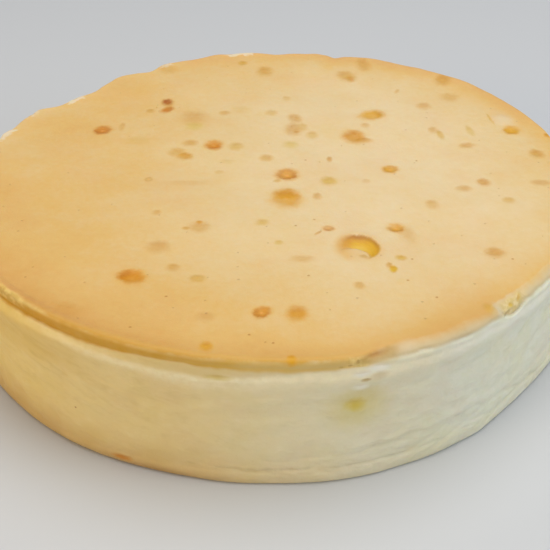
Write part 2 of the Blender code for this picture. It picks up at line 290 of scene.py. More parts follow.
# Marks of the wall: direction (deg), height (mm), half width, half height, then as above
WALL_MARKS = (
    (282.3, 28.8, 6.8, 5.8, 0, 0.34, 0.00, 0.0, 0.0, 0.85, 0.0),
    (281.9, 29.8, 2.4, 1.9, -8, 0.62, 0.02, 0.0, 0.0, 0.70, -0.1),
    (283.2, 38.8, 1.2, 0.6, -6, 0.58, 0.748, 0.0, 0.0, 0.60, -0.25),
    (285.2, 39.6, 1.9, 1.3, 0, 0.22, 0.745, 0.0, 0.0, 0.80, 0.0),
    (282.5, 36.5, 2.0, 1.1, -5, 0.70, 0.99, 0.0, 0.0, 0.60, 0.12),
    (246.0, 3.0, 2.6, 0.9, 0, 0.72, 0.50, 0.0, 0.0, 0.70, 0.0),
    (238.6, 17.8, 0.32, 0.3, 0, 0.60, 0.68, 0.0, 0.0, 0.40, 0.0),
    (262.2, 41.9, 3.0, 0.8, 0, 0.46, 0.07, 0.0, 0.0, 0.70, -0.15),
)
# Marks of the edge: direction (deg), run (mm) down the edge, then as above
EDGE_MARKS = (
    (284.9, 7.6, 4.2, 1.6, 6, 0.36, 0.725, 0.0, 0.0, 0.75, 0.0),
    (284.9, 7.2, 3.0, 0.8, 6, 0.34, 0.52, 0.0, 0.0, 0.75, 0.0),
    (287.2, 7.2, 2.6, 1.7, 8, 0.30, 0.755, 0.0, 0.0, 0.70, 0.0),
    (289.6, 6.7, 2.6, 1.8, 6, 0.28, 0.90, 0.0, 0.0, 0.85, 0.0),
    (285.1, 12.4, 2.8, 1.5, 0, 0.80, 1.00, 0.0, 0.0, 0.60, 0.25),
    (282.5, 14.1, 2.3, 1.0, 0, 0.70, 1.00, 0.0, 0.0, 0.60, 0.15),
    (281.8, 8.6, 0.45, 0.7, 0, 0.46, 0.738, 0.0, 0.0, 0.50, -0.2),
    (280.7, 10.4, 0.6, 0.5, 0, 0.34, 0.74, 0.0, 0.0, 0.50, -0.2),
    (279.4, 10.8, 0.6, 0.5, 0, 0.32, 0.74, 0.0, 0.0, 0.50, -0.2),
    (272.5, 6.6, 1.15, 1.7, 0, 0.95, 0.20, 0.0, 0.0, 0.55, -0.1),
    (306.7, 5.4, 1.5, 2.5, 0, 0.34, 0.17, 0.0, 0.0, 0.70, 0.0),
    (308.3, 6.9, 1.1, 2.6, 0, 0.36, 0.89, 0.0, 0.0, 0.70, 0.0),
    (311.2, 7.6, 0.8, 0.7, 0, 0.55, 0.08, 0.0, 0.0, 0.50, -0.3),
    (313.6, 7.1, 1.1, 0.5, 30, 0.45, 0.20, 0.0, 0.0, 0.50, -0.3),
    (309.8, 9.4, 1.4, 0.6, 10, 0.42, 0.735, 0.0, 0.0, 0.50, -0.2),
)


# ------------------------------------------------------------------ the top's height
def relief(x, y):
    """Shallow dents and blisters of the marks, in mm."""
    h = np.zeros_like(x)
    for mx, my, rx, ry, turn, _s, _h, ring, _o, soft, deep in MARKS:
        if deep == 0.0:
            continue
        c, s = math.cos(math.radians(turn)), math.sin(math.radians(turn))
        u = ((x - mx) * c + (y - my) * s) / rx
        v = (-(x - mx) * s + (y - my) * c) / ry
        d = np.sqrt(u * u + v * v)
        cup = 1.0 - sstep(0.35, 1.0, d)
        lip = np.exp(-(((d - 1.1) / 0.22) ** 2))
        boss = np.exp(-((d / 0.38) ** 2)) * ring
        h += deep * (cup - 0.30 * lip - 0.55 * boss)
    # the open bubble: a bowl with a steep far side, a flap of skin that has sagged over the near side
    u, v = x - BUBBLE[0], y - BUBBLE[1]
    wobble = 0.05 * n_mid(x / 3.0, y / 3.0, 4.0)
    d = np.hypot(u / BUBBLE[2], v / BUBBLE[3]) + wobble
    bowl = 1.0 - sstep(0.66, 1.0, d)
    flap = 1.0 - sstep(0.58, 1.12, np.hypot((u + 1.7) / 5.1, (v + 4.7) / 5.3) + wobble)
    crown = np.exp(-(((d - 1.10) / 0.13) ** 2)) * sstep(-0.5, 0.6, v / BUBBLE[3])
    h += -1.4 * bowl * (1.0 - 0.9 * flap) * sstep(-8.0, -0.5, u) + 0.35 * crown * sstep(-7.0, -2.0, u) + 0.20 * flap * (1.0 - sstep(0.6, 1.3, d))
    # a pale wrinkled blister near the right edge
    u, v = (x - 92.0) / 4.6, (y - 43.6) / 6.6
    h += 0.45 * (1.0 - sstep(0.2, 1.0, np.sqrt(u * u + v * v)))
    return h


def top_level(x, y):
    angle = np.arctan2(y, x)
    share = np.minimum(1.0, np.hypot(x, y) / plan(angle))
    level = HEIGHT + (rim_height(angle) - HEIGHT) * share ** 2
    dish = DISH * (1.0 - share ** 2) ** 1.5
    fade = 1.0 - share ** 6
    swell = sum(
        h * np.cos(2 * math.pi / w * (x * math.cos(math.radians(d)) + y * math.sin(math.radians(d))) + math.radians(p))
        for w, d, p, h in SWELLS
    )
    return level - dish + swell * fade


def top_height(x, y):
    z = top_level(x, y)
    z = z + 0.12 * n_broad(x / 17.0, y / 17.0, 1.0) + 0.05 * n_mid(x / 6.0, y / 6.0, 2.0) + 0.02 * n_fine(x / 2.4, y / 2.4, 3.0)
    return z + relief(x, y)


# ------------------------------------------------------------------ the wall's profile
def wall_stations(angle):
    """Rows of the profile, from the top's edge to under the foot: run (mm), out from the rim, down or height.

    The first rows state how far they lie below the top, with a groove under the skin's edge and without it;
    the others state how high above the table."""
    skin, slope, drop = eased(angle, SKIN_OUT), eased(angle, SLOPED), eased(angle, GROOVE_DROP)
    groove = skin - GROOVE_IN
    swell = LIP_OUT - groove
    one = np.ones_like(angle)
    table = (
        (0.0, -8.0 * one, 0.0, -8.0, 0.0),
        (2.4, -5.6 * one, 0.0, -5.6, 0.03),
        (4.4, skin - 3.0, -0.10, -3.9, 0.12),
        (5.6, skin - 1.7, -0.20, -2.75, 0.34),
        (6.6, skin - 0.8, -0.02, -1.85, 0.72),
        (7.4, skin - 0.25, 0.42, -1.15, 1.20),
        (8.2, skin - 0.02, 1.10, -0.60, 1.80),
        (9.1, skin - 0.10, 2.0, -0.20, 2.60),
        (9.9, skin - 0.24, drop - 0.5, 0.0, 3.30),
        (10.6, groove, drop, 0.06, 3.85),
        (11.6, groove + 0.38 * swell, drop + 0.45, 0.13, 4.50),
        (12.8, groove + 0.76 * swell, drop + (LIP_DROP - drop) * 0.42, 0.22, 5.20),
        (14.2, 0.36 * one, 6.0, 0.30, 6.2),
        (15.6, LIP_OUT * one, 7.2, 0.33, 7.2),
        (17.4, 0.22 * one, 8.6, 0.22, 8.6),
        (19.6, -0.15 * one, 10.7, -0.15, 10.7),
        (21.7, -0.50 * one, 12.8, -0.50, 12.8),
        (23.9, -0.65 * one, 15.0, -0.65, 15.0),
    )
    upper = [(t, a + (c - a) * slope, b * one + (d - b) * slope) for t, a, b, c, d in table]
    waist = rim_height(angle) - 15.0
    rim = plan(angle) + lobes(angle)
    foot = foot_radius(angle)
    lower = []
    for q in (0.80, 0.60, 0.40, 0.22):
        lower.append((23.9 + (1 - q) * 32.8, foot + (rim - 0.65 - foot) * q - rim, waist * q))
    lower += [
        (52.2, foot + 0.10 * (rim - 0.65 - foot) - rim, 4.5 * one),
        (54.9, foot - rim, 1.8 * one),
        (56.0, foot - 0.28 - rim, 0.75 * one),
        (57.0, foot - 0.95 - rim, 0.16 * one),
        (58.5, foot - 2.40 - rim, 0.0 * one),
    ]
    return upper, lower


def hermite_rows(t_known, rows, t_new):
    """Smooth curves through the stations, one for each column (Catmull-Rom on uneven spacing)."""
    t_known = np.asarray(t_known)
    rows = np.asarray(rows)
    slopes = np.gradient(rows, t_known, axis=0)
    i = np.clip(np.searchsorted(t_known, t_new, side="right") - 1, 0, len(t_known) - 2)
    h = (t_known[i + 1] - t_known[i])[:, None]
    s = ((t_new - t_known[i])[:, None]) / h
    a, b, ma, mb = rows[i], rows[i + 1], slopes[i] * h, slopes[i + 1] * h
    return (2 * s ** 3 - 3 * s ** 2 + 1) * a + (s ** 3 - 2 * s ** 2 + s) * ma + (-2 * s ** 3 + 3 * s ** 2) * b + (s ** 3 - s ** 2) * mb


def rim_lumps(angle):
    """Uneven bulges of the edge seen in plan, in mm."""
    c, s = np.cos(angle), np.sin(angle)
    return 0.20 * n_rim(c * 9.0, s * 9.0, 0.5) + 0.12 * n_rim(c * 22.0, s * 22.0, 2.5) - 0.22


# Pale bits of the edge that stand up behind the skin: direction, half width (deg), amount
FLAKES = ((98.0, 3.4, 0.8), (95.0, 1.0, 0.5), (115.4, 1.8, 1.0), (144.4, 1.1, 1.0), (141.0, 3.6, 0.5), (154.0, 4.6, 0.4), (164.5, 3.2, 1.0))


def flakes(angle, run):
    """How much a pale bit of the edge shows, about 0 to 1."""
    c, s = np.cos(angle), np.sin(angle)
    total = sum(amount * np.exp(-((turn_away(angle, centre) / half) ** 2)) for centre, half, amount in FLAKES)
    torn = n_mid(c * 46.0, s * 46.0, run / 2.0) + 0.5 * n_mid(c * 95.0, s * 95.0, run / 1.1 + 5.0)
    shown = np.clip(1.15 * total + 0.75 * torn * sstep(0.12, 0.55, total), 0.0, 1.0)
    return shown * sstep(3.4, 5.8, run + 0.9 * torn) * (1.0 - sstep(8.4, 11.2, run + 1.2 * torn))


def edge_line(angle):
    """The fine line in which the skin's edge ends at the front right: how far down (mm), and how clear it is."""
    c, s = np.cos(angle), np.sin(angle)
    at = np.interp(
        np.degrees(angle) % 360.0,
        (284.0, 297.7, 300.2, 302.3, 304.2, 306.2, 310.0, 315.0, 330.0, 350.0), (8.8, 9.1, 9.9, 9.7, 9.5, 8.9, 9.8, 8.6, 8.8, 9.2),
    )
    at = at + 0.35 * n_rim(c * 20.0, s * 20.0, 21.0) + 0.20 * n_rim(c * 55.0, s * 55.0, 22.0)
    clear = np.clip(0.65 + 1.1 * n_rim(c * 15.0, s * 15.0, 25.0) + 0.5 * n_rim(c * 48.0, s * 48.0, 27.0), 0.15, 1.0)
    return at, clear * arc_window(angle, 288.0, 340.0, 4.0) * (1.0 - arc_window(angle, 308.2, 314.8, 1.0))


RUN = np.concatenate([
    np.arange(0.0, 3.9, 1.0), np.arange(4.0, 16.0, 0.48), np.arange(16.2, 24.0, 0.95), np.arange(24.6, 45.0, 1.15),
    np.arange(45.6, 53.4, 0.52), np.array([53.9, 54.6, 55.3, 56.0, 56.7, 57.5, 58.5]),
])


def wall_grid(angles):
    upper, lower = wall_stations(angles)
    rim = plan(angles) + lobes(angles)
    # upper rows hang from the top's own height; lower rows stand on the table
    known, out_rows, high_rows = [], [], []
    for t, out, down in upper:
        r = rim + out
        known.append(t)
        out_rows.append(out)
        high_rows.append(top_level(r * np.cos(angles), r * np.sin(angles)) - down)
    for t, out, high in lower:
        known.append(t)
        out_rows.append(out)
        high_rows.append(high)
    out = hermite_rows(known, out_rows, RUN)
    high = hermite_rows(known, high_rows, RUN)
    up = flakes(angles[None, :], RUN[:, None])
    high = high + 0.45 * up * np.exp(-(((RUN[:, None] - 7.2) / 1.6) ** 2))
    high[-1] = 0.0
    high = np.maximum(high, 0.0)
    return rim[None, :] + out, high


def torn_border(angle):
    """How far down the edge (run, mm) the torn bit at the front right reaches."""
    low = np.interp(
        np.degrees(angle) % 360.0,
        (307.2, 308.2, 309.2, 310.4, 312.2, 313.4, 314.8, 316.0, 317.4), (3.6, 7.2, 9.8, 11.1, 11.5, 10.9, 9.5, 7.7, 4.6),
    )
    return low + 0.35 * n_rim(np.cos(angle) * 60.0, np.sin(angle) * 60.0, 12.0)


def crumbs(angle, run):
    """Where the edge is crumbly: the left of the front, the tear, and the torn bit."""
    left = arc_window(angle, 203.0, 230.5, 3.5) * sstep(5.4, 6.6, run) * (1.0 - sstep(9.4, 10.4, run))
    tear = arc_window(angle, 280.4, 283.4, 0.9) * sstep(6.2, 7.2, run) * (1.0 - sstep(10.6, 11.6, run))
    low = torn_border(angle)
    bitten = 0.9 * n_mid(np.cos(angle) * 50.0, np.sin(angle) * 50.0, run / 1.8)
    torn = arc_window(angle, 308.9, 315.2, 1.3) * sstep(4.6, 6.8, run + bitten) * (1.0 - sstep(low - 0.5, low + 0.3, run))
    return np.maximum(np.maximum(left, tear), torn)


def wall_relief(angle, run, high):
    """Lumps, wrinkles and creases of the edge and the wall, outwards, in mm."""
    c, s = np.cos(angle), np.sin(angle)
    x, y = RADIUS * c, RADIUS * s
    on_wall = sstep(14.0, 23.0, run) * (1.0 - sstep(53.5, 57.0, run))
    on_edge = sstep(3.0, 7.0, run) * (1.0 - sstep(15.0, 23.0, run))
    h = on_wall * (0.40 * n_broad(x / 27.0, y / 27.0, high / 13.0 + 5.0) + 0.14 * n_mid(x / 9.0, y / 9.0, high / 3.6) + 0.04 * n_fine(x / 2.6, y / 2.6, high / 1.5))
    h += on_wall * 0.20 * n_lip(x / 12.0, y / 12.0, high / 5.0 + 0.05 * np.degrees(angle))
    crumpled = arc_window(angle, 282.0, 360.0, 8.0) * on_wall * (0.45 + 0.55 * sstep(24.0, 36.0, high))
    climb = high - 0.32 * np.degrees(angle)
    h += crumpled * (0.17 * n_mid(x / 12.0, y / 12.0, climb / 2.8 + 7.0) + 0.07 * n_fine(x / 4.0, y / 4.0, climb / 1.6 + 2.0))
    h += on_edge * (0.22 * n_lip(x / 14.0, y / 14.0, high / 5.0) + 0.07 * n_mid(x / 5.0, y / 5.0, high / 2.6) + 0.03 * n_fine(x / 2.2, y / 2.2, high / 1.4))
    # crumbly stretches of the edge
    rag = crumbs(angle, run)
    h += rag * (0.34 * n_fine(x / 1.9, y / 1.9, high / 1.2) + 0.30 * n_mid(x / 3.4, y / 3.4, high / 2.0 + 3.0) - 0.15)
    # the torn bit at the front right and the crease under it
    low = torn_border(angle)
    torn = arc_window(angle, 308.0, 315.6, 1.2)
    h -= torn * 0.36 * sstep(3.2, 5.6, run) * (1.0 - sstep(low - 0.6, low + 0.2, run))
    h -= torn * 0.42 * np.exp(-(((run - low) / 0.60) ** 2))
    h += 0.3 * arc_window(angle, 305.8, 308.0, 0.9) * np.exp(-(((run - 6.5) / 3.0) ** 2))
    # the line in which the skin's edge ends there, a soft ridge and a crease under it
    line, clear = edge_line(angle)
    h += clear * (0.20 * np.exp(-(((run - line - 1.5) / 1.1) ** 2)) - 0.17 * np.exp(-(((run - line) / 0.6) ** 2)) - 0.14 * np.exp(-(((run - line - 3.3) / 0.9) ** 2)))
    # the brown tear right of the front
    h -= 0.6 * around(angle, 284.6, 2.0) * np.exp(-(((run - 7.6) / 1.5) ** 2))
    # the crease just above the foot, with a slight swell under it
    around_deg = np.degrees(angle) % 360.0
    crease = 5.6 + 0.5 * np.sin(np.radians(around_deg * 4.0 + 20.0)) + 0.9 * n_lip(c * 7.0, s * 7.0, 9.0) + 0.35 * n_lip(c * 24.0, s * 24.0, 6.0)
    deep = np.clip(0.30 + 0.75 * n_lip(c * 12.0, s * 12.0, 3.0), 0.0, 0.75) * (1.0 - 0.8 * arc_window(angle, 195.0, 257.0, 6.0))
    h += on_wall * (-deep * np.exp(-(((high - crease) / 0.50) ** 2)) + 0.20 * np.exp(-(((high - crease + 2.2) / 1.7) ** 2)))
    # thin winding folds, most of them at the front right
    bend = 0.5 * n_broad(x / 30.0, y / 30.0, high / 16.0)
    for grain, drop, amount, where in (
        (30.0, 6.0, 0.40, arc_window(angle, 284.0, 350.0, 12.0)), (20.0, 4.2, 0.28, arc_window(angle, 278.0, 356.0, 14.0)),
        (18.0, 8.0, 0.22, 1.0 - arc_window(angle, 284.0, 350.0, 12.0)),
    ):
        n = n_lip(x / grain + bend, y / grain + 0.8 * bend, (high - 0.30 * np.degrees(angle)) / drop + drop + bend)
        h -= on_wall * amount * where * np.exp(-((n / 0.07) ** 2))
        h += on_wall * 0.5 * amount * where * n
    # long shallow wrinkles low on the front right, and a few elsewhere
    for base, tilt, start, end, depth in (
        (12.6, -0.02, 287.0, 306.0, 0.50), (9.6, -0.40, 304.0, 320.0, 0.45), (11.2, 0.05, 279.0, 288.0, 0.40), (17.0, -0.06, 296.0, 350.0, 0.20), (10.0, -0.03, 305.0, 360.0, 0.26), (23.0, 0.03, 318.0, 372.0, 0.20),
        (31.0, -0.05, 288.0, 322.0, 0.14), (25.5, 1.30, 318.0, 328.0, 0.50), (31.0, 0.90, 311.0, 321.0, 0.30), (14.0, 0.04, 30.0, 74.0, 0.20), (19.0, -0.05, 96.0, 150.0, 0.22), (11.5, 0.02, 160.0, 215.0, 0.18),
        (26.0, 0.04, 205.0, 240.0, 0.14), (33.0, -0.03, 236.0, 262.0, 0.12),
    ):
        line = base + tilt * turn_away(angle, (start + end) / 2.0) + 1.6 * n_mid(c * 9.0 + base, s * 9.0, 1.0)
        h -= 1.1 * depth * arc_window(angle, start, end, 7.0) * np.exp(-(((high - line) / 0.8) ** 2))
        h += 0.5 * depth * arc_window(angle, start, end, 7.0) * np.exp(-(((high - line - 2.0) / 1.5) ** 2))
    # marks of the wall
    for deg, mz, rx, rz, turn, _s, _h, _r, _o, soft, deepm in WALL_MARKS:
        if deepm:
            u = turn_away(angle, deg) * math.pi / 180.0 * RADIUS
            ct, st = math.cos(math.radians(turn)), math.sin(math.radians(turn))
            a, b = (u * ct + (high - mz) * st) / rx, (-u * st + (high - mz) * ct) / rz
            h += deepm * (1.0 - sstep(0.2, 1.1, np.sqrt(a * a + b * b)))
    return h


# ------------------------------------------------------------------ the mesh
def build_mesh():
    n = CELLS
    axis = np.linspace(-1.0, 1.0, n + 1)
    a, b = np.meshgrid(axis, axis, indexing="ij")
    wide = np.abs(a) > np.abs(b)
    with np.errstate(divide="ignore", invalid="ignore"):
        rho = np.where(wide, a, b)
        phi = np.where(wide, (math.pi / 4) * (b / a), math.pi / 2 - (math.pi / 4) * (a / b))
    phi = np.where(rho == 0.0, 0.0, phi)
    cx, cy = rho * np.cos(phi), rho * np.sin(phi)
    share, angle = np.hypot(cx, cy), np.arctan2(cy, cx)
    reach = share * (plan(angle) + lobes(angle) * share ** 8 - STEP_IN)
    gx, gy = reach * np.cos(angle), reach * np.sin(angle)
    # the grid is drawn together at the open bubble, so that it is finer there
    ox, oy = gx - BUBBLE[0], gy - BUBBLE[1]
    pull = 0.6 * np.exp(-((np.hypot(ox, oy) / 13.0) ** 2))
    gx, gy = gx - ox * pull, gy - oy * pull
    gz = top_height(gx, gy)

    # the border of the grid, once round counter-clockwise from the corner at -45 degrees
    ids = np.arange((n + 1) * (n + 1)).reshape(n + 1, n + 1)
    border = np.concatenate([ids[n, :-1], ids[::-1, n][:-1], ids[0, ::-1][:-1], ids[:-1, 0]])
    top_points = np.stack([gx, gy, gz], -1).reshape(-1, 3)
    angles = np.arctan2(top_points[border, 1], top_points[border, 0])

    radius, high = wall_grid(angles)
    rows = len(RUN)
    run = np.repeat(RUN[:, None], COLUMNS, 1)
    lump = rim_lumps(angles)[None, :] * sstep(0.0, 7.0, run) * (1.0 - 0.8 * sstep(16.0, 34.0, run))
    radius = radius + lump
    wx, wy = radius * np.cos(angles)[None, :], radius * np.sin(angles)[None, :]
    # near the top the wall's rows follow the top's own fine height
    blend = 1.0 - sstep(2.0, 7.0, run)
    fine = top_height(wx, wy) - top_level(wx, wy)
    wz = high + fine * blend
    wall_points = np.stack([wx, wy, wz], -1)

    # displace the wall along its own normals
    du = np.roll(wall_points, -1, 1) - np.roll(wall_points, 1, 1)
    dt = np.gradient(wall_points, axis=0)
    normal = np.cross(dt, du)
    normal /= np.maximum(np.linalg.norm(normal, axis=-1, keepdims=True), 1e-9)
    outward = np.stack([wx, wy, np.zeros_like(wx)], -1)
    sign = np.sign((normal * outward).sum(-1).mean())
    normal *= sign
    h = wall_relief(np.broadcast_to(angles[None, :], run.shape), run, high)
    h = h * sstep(0.5, 3.0, run)
    wall_points = wall_points + normal * h[..., None]
    wall_points[-1, :, 2] = 0.0
    wall_points[..., 2] = np.maximum(wall_points[..., 2], 0.0)
    wall_points[0] = top_points[border]

    count_top = top_points.shape[0]
    points = np.concatenate([top_points, wall_points[1:].reshape(-1, 3), [[0.0, 0.0, 0.0]]])
    ring = np.concatenate([border[None, :], count_top + np.arange((rows - 1) * COLUMNS).reshape(rows - 1, COLUMNS)])
    quads_top = np.stack([ids[:-1, :-1], ids[1:, :-1], ids[1:, 1:], ids[:-1, 1:]], -1).reshape(-1, 4)
    nxt = np.roll(ring, -1, 1)
    quads_wall = np.stack([ring[:-1], ring[1:], nxt[1:], nxt[:-1]], -1).reshape(-1, 4)
    last, centre = ring[-1], len(points) - 1
    tris = np.stack([np.roll(last, -1), last, np.full(COLUMNS, centre)], -1)

    # the footprint's box is centred as the solid's is
    shift = plan_shift()
    points[:, 0] += shift[0]
    points[:, 1] += shift[1]

    faces = [tuple(q) for q in quads_top.tolist()] + [tuple(q) for q in quads_wall.tolist()] + [tuple(q) for q in tris.tolist()]
    mesh = bpy.data.meshes.new("cheesecake_skin")
    mesh.from_pydata((points / 1000.0).tolist(), [], faces)
    mesh.update()
    top_angle = np.arctan2(gy, gx)
    inner = plan(top_angle) + lobes(top_angle) - STEP_IN
    run_all = np.concatenate([np.minimum(np.hypot(gx, gy) - inner, 0.0).reshape(-1), run[1:].reshape(-1), [60.0]])
    ang_all = np.concatenate([top_angle.reshape(-1), np.broadcast_to(angles[None, :], (rows - 1, COLUMNS)).reshape(-1), [0.0]])
    return mesh, points, run_all, ang_all, shift, (len(quads_top), len(quads_wall), len(tris), rows)


def plan_shift():
    """Offset that puts the middle of the footprint's box on the origin, as on the solid."""
    a = np.arange(144) * 2 * math.pi / 144
    r = plan(a) + lobes(a) + np.maximum(LIP_OUT, eased(a, SKIN_OUT) - 0.09)
    x, y = r * np.cos(a), r * np.sin(a)
    return -(x.min() + x.max()) / 2.0, -(y.min() + y.max()) / 2.0


mesh, points, run, angle, SHIFT, counts = build_mesh()
px, py, pz = points[:, 0] - SHIFT[0], points[:, 1] - SHIFT[1], points[:, 2]


# ------------------------------------------------------------------ masks on the mesh
def put_float(name, values):
    at = mesh.attributes.new(name, "FLOAT", "POINT")
    at.data.foreach_set("value", np.ascontiguousarray(values, np.float32))


def put_vector(name, values):
    at = mesh.attributes.new(name, "FLOAT_VECTOR", "POINT")
    at.data.foreach_set("vector", np.ascontiguousarray(values, np.float32).ravel())


def put_colour(name, values):
    at = mesh.attributes.new(name, "FLOAT_COLOR", "POINT")
    at.data.foreach_set("color", np.ascontiguousarray(values, np.float32).ravel())


def lay_marks(tables, layers):
    """Own coordinates of each mark on the mesh. Marks that lie close go to different layers."""
    reach = 1.9
    across = math.pi / 180.0 * RADIUS
    laid = [(kind,) + tuple(m) for kind, table in tables for m in table]
    placed = [[] for _ in range(layers)]
    taken = [np.zeros(len(px), bool) for _ in range(layers)]
    for entry in sorted(laid, key=lambda m: -max(m[3], m[4])):
        kind, x, y, rx, ry, turn = entry[:6]
        c, s = math.cos(math.radians(turn)), math.sin(math.radians(turn))
        if kind == "top":
            ok = run < 9.0
            dx, dy = px - x, py - y
        elif kind == "edge":
            ok = run > 0.0
            dx, dy = turn_away(angle, x) * across, y - run
        else:
            ok = run > 9.0
            dx, dy = turn_away(angle, x) * across, pz - y
        u, v = (dx * c + dy * s) / rx, (-dx * s + dy * c) / ry
        d = np.hypot(u, v)
        away = np.where(ok, (d - reach) * d / np.maximum(np.hypot(u / rx, v / ry), 1e-6), 1e6)     # about in mm
        cover = away < 1.2
        for k in range(layers):
            if not (taken[k] & cover).any():
                taken[k] |= cover
                placed[k].append((entry, away, u, v))
                break
        else:
            raise RuntimeError(f"no free layer for the mark at {x}, {y}")
    for k, layer in enumerate(placed):
        best = np.full(len(px), 1e5)
        local = np.zeros((len(px), 3))
        local[:, 0] = 5.0
        look = np.zeros((len(px), 4))
        for entry, away, u, v in layer:
            strength, hue, ring, side, soft = entry[6:11]
            near = away < best
            best = np.where(near, away, best)
            local[near, 0], local[near, 1] = u[near], v[near]
            local[near, 2] = np.where(away[near] < 0.0, soft, 0.0)
            look[near] = (strength, hue, ring, side)
        put_vector(f"mark_{k + 1}", local)
        put_colour(f"look_{k + 1}", look)
    return [len(layer) for layer in placed]


LAYERS = 6
used = lay_marks((("top", MARKS), ("wall", WALL_MARKS), ("edge", EDGE_MARKS)), LAYERS)
print("marks in layers", used)

rim = plan(angle) + lobes(angle)
share = np.hypot(px, py) / rim
inset = rim - np.hypot(px, py)
left = sstep(25.0, -85.0, px)
ca, sa = np.cos(angle), np.sin(angle)
# how browned the skin is: more to the left, more towards the rim
brown = 0.10 + 0.40 * left + 0.08 * share ** 3 + eased(angle, RIM_BROWN) * np.exp(-np.maximum(inset - 4.0, 0.0) / 10.0)
brown += 0.30 * arc_window(angle, 25.0, 112.0, 12.0) * np.exp(-np.maximum(inset, 0.0) / 2.5)
brown += 0.17 * np.exp(-(((px + 14.0) / 34.0) ** 2) - ((py + 82.0) / 20.0) ** 2)
brown += 0.08 * n_tone(px / 34.0, py / 34.0, 1.0) + 0.05 * n_tone(px / 13.0, py / 13.0, 4.0)
put_float("brown", np.clip(brown, 0.0, 1.2))
put_float("run", run)
edge_at = eased(angle, SKIN_END) + 0.40 * n_rim(ca * 12, sa * 12, 7.0) + 0.25 * n_rim(ca * 40, sa * 40, 9.0)
put_float("skin", edge_at - run)                       # positive on the browned skin
grooved = 1.0 - eased(angle, SLOPED)
strip_top = 8.0 + 0.7 * arc_window(angle, 203.0, 230.0, 4.0) + 0.5 * arc_window(angle, 248.0, 262.0, 4.0) + 0.1 * arc_window(angle, 262.0, 280.0, 4.0)
strip_end = 11.5 - 0.6 * arc_window(angle, 249.0, 258.0, 4.0) + 0.8 * arc_window(angle, 260.0, 281.0, 5.0)
ragged = 0.5 * n_rim(ca * 14, sa * 14, 3.0) + 0.35 * n_rim(ca * 45, sa * 45, 5.0)
golden = sstep(strip_top - 1.5, strip_top + 0.3, run) * (1.0 - sstep(strip_end - 0.9, strip_end + 0.5, run + ragged)) * grooved
golden *= 0.80 + 0.20 * arc_window(angle, 203.0, 262.0, 9.0)
degrees = np.degrees(angle) % 360.0
# the pale lip: partly its own paler colour, partly a painted highlight where the lip faces up to the light; pale_at is
# where it peaks
pale_at = np.interp(degrees, (0, 205, 225, 235, 243, 250, 258, 265, 273, 280, 300, 360), (14.0, 13.5, 12.5, 12.6, 14.3, 15.8, 16.7, 15.8, 14.1, 13.8, 14.0, 14.0))
streaked = arc_window(angle, 222.0, 278.0, 8.0)
pale = np.exp(-(((run + 1.3 * ragged - pale_at) / (2.8 - 1.4 * streaked + 0.5 * arc_window(angle, 238.0, 258.0, 6.0))) ** 2)) * (1.0 - 0.75 * arc_window(angle, 198.0, 229.0, 5.0)) * (0.72 + 0.28 * streaked)
# painted light on the wall below the lip, lifting it where the lip shades it
pale += 0.48 * arc_window(angle, 254.0, 288.0, 6.0) * np.exp(-(((run - pale_at - 2.8) / 1.7) ** 2))
pale += 0.14 * arc_window(angle, 244.0, 280.0, 8.0) * np.exp(-(((pz - 37.5) / 3.6) ** 2)) * (run > 14.0)
line, clear = edge_line(angle)
beige = (1.0 - grooved) * sstep(3.8, 5.6, run) * (1.0 - sstep(8.4 + clear * (line - 8.9), 10.4 + clear * (line - 10.1), run))
# a painted highlight along the soft ridge under the skin's edge line at the front right
pale += 0.28 * clear * np.exp(-(((run - line - 1.5) / 1.2) ** 2))
# painted shade on the rounded edge above the golden strip, where it turns down from the light, in a golden tone
rounded = grooved * sstep(4.3, 7.0, run) * (1.0 - sstep(9.0, 10.0, run)) * arc_window(angle, 232.0, 282.0, 8.0)
# painted shade under the lip
painted_shade_under_lip = arc_window(angle, 200.0, 240.0, 10.0) * sstep(10.8, 12.5, run) * (1.0 - sstep(22.0, 30.0, run))
painted_shade_under_lip = np.maximum(painted_shade_under_lip, 0.04 * streaked * sstep(pale_at + 1.0, pale_at + 2.6, run + ragged) * (1.0 - sstep(pale_at + 4.0, pale_at + 9.0, run)))
# painted shade in the recess between the golden strip and the lip, laid into the beige band
painted_recess_shade = arc_window(angle, 236.0, 281.0, 5.0) * sstep(10.2, 11.0, run) * (1.0 - sstep(pale_at - 2.4, pale_at - 0.9, run + ragged))
beige = np.maximum(beige, 0.45 * painted_recess_shade)
# warmth round the cake: partly the wall's own warmer tone, partly painted light from a warm lamp on the left and cool
# light on the right
warm_tone_and_painted_lamp_light = eased(angle, ((30, 0.40), (120, 0.60), (218, 1.0), (250, 0.76), (285, 0.23), (306, 0.06), (350, 0.10)))
# browned low on the wall, more where it is warmer
toast_and_painted_contact_shade = (1.0 - sstep(0.0, 9.0 + 11.0 * warm_tone_and_painted_lamp_light, pz + 1.5 * n_tone(px / 9.0, py / 9.0, pz / 7.0))) * sstep(10.0, 20.0, run) * (0.04 + 0.96 * warm_tone_and_painted_lamp_light ** 1.5)
# painted contact shadow on the foot at the front left
toast_and_painted_contact_shade = np.maximum(toast_and_painted_contact_shade, 0.55 * around(angle, 250.0, 11.0) * (run > 20.0) * (1.0 - sstep(0.5, 5.5, pz)))
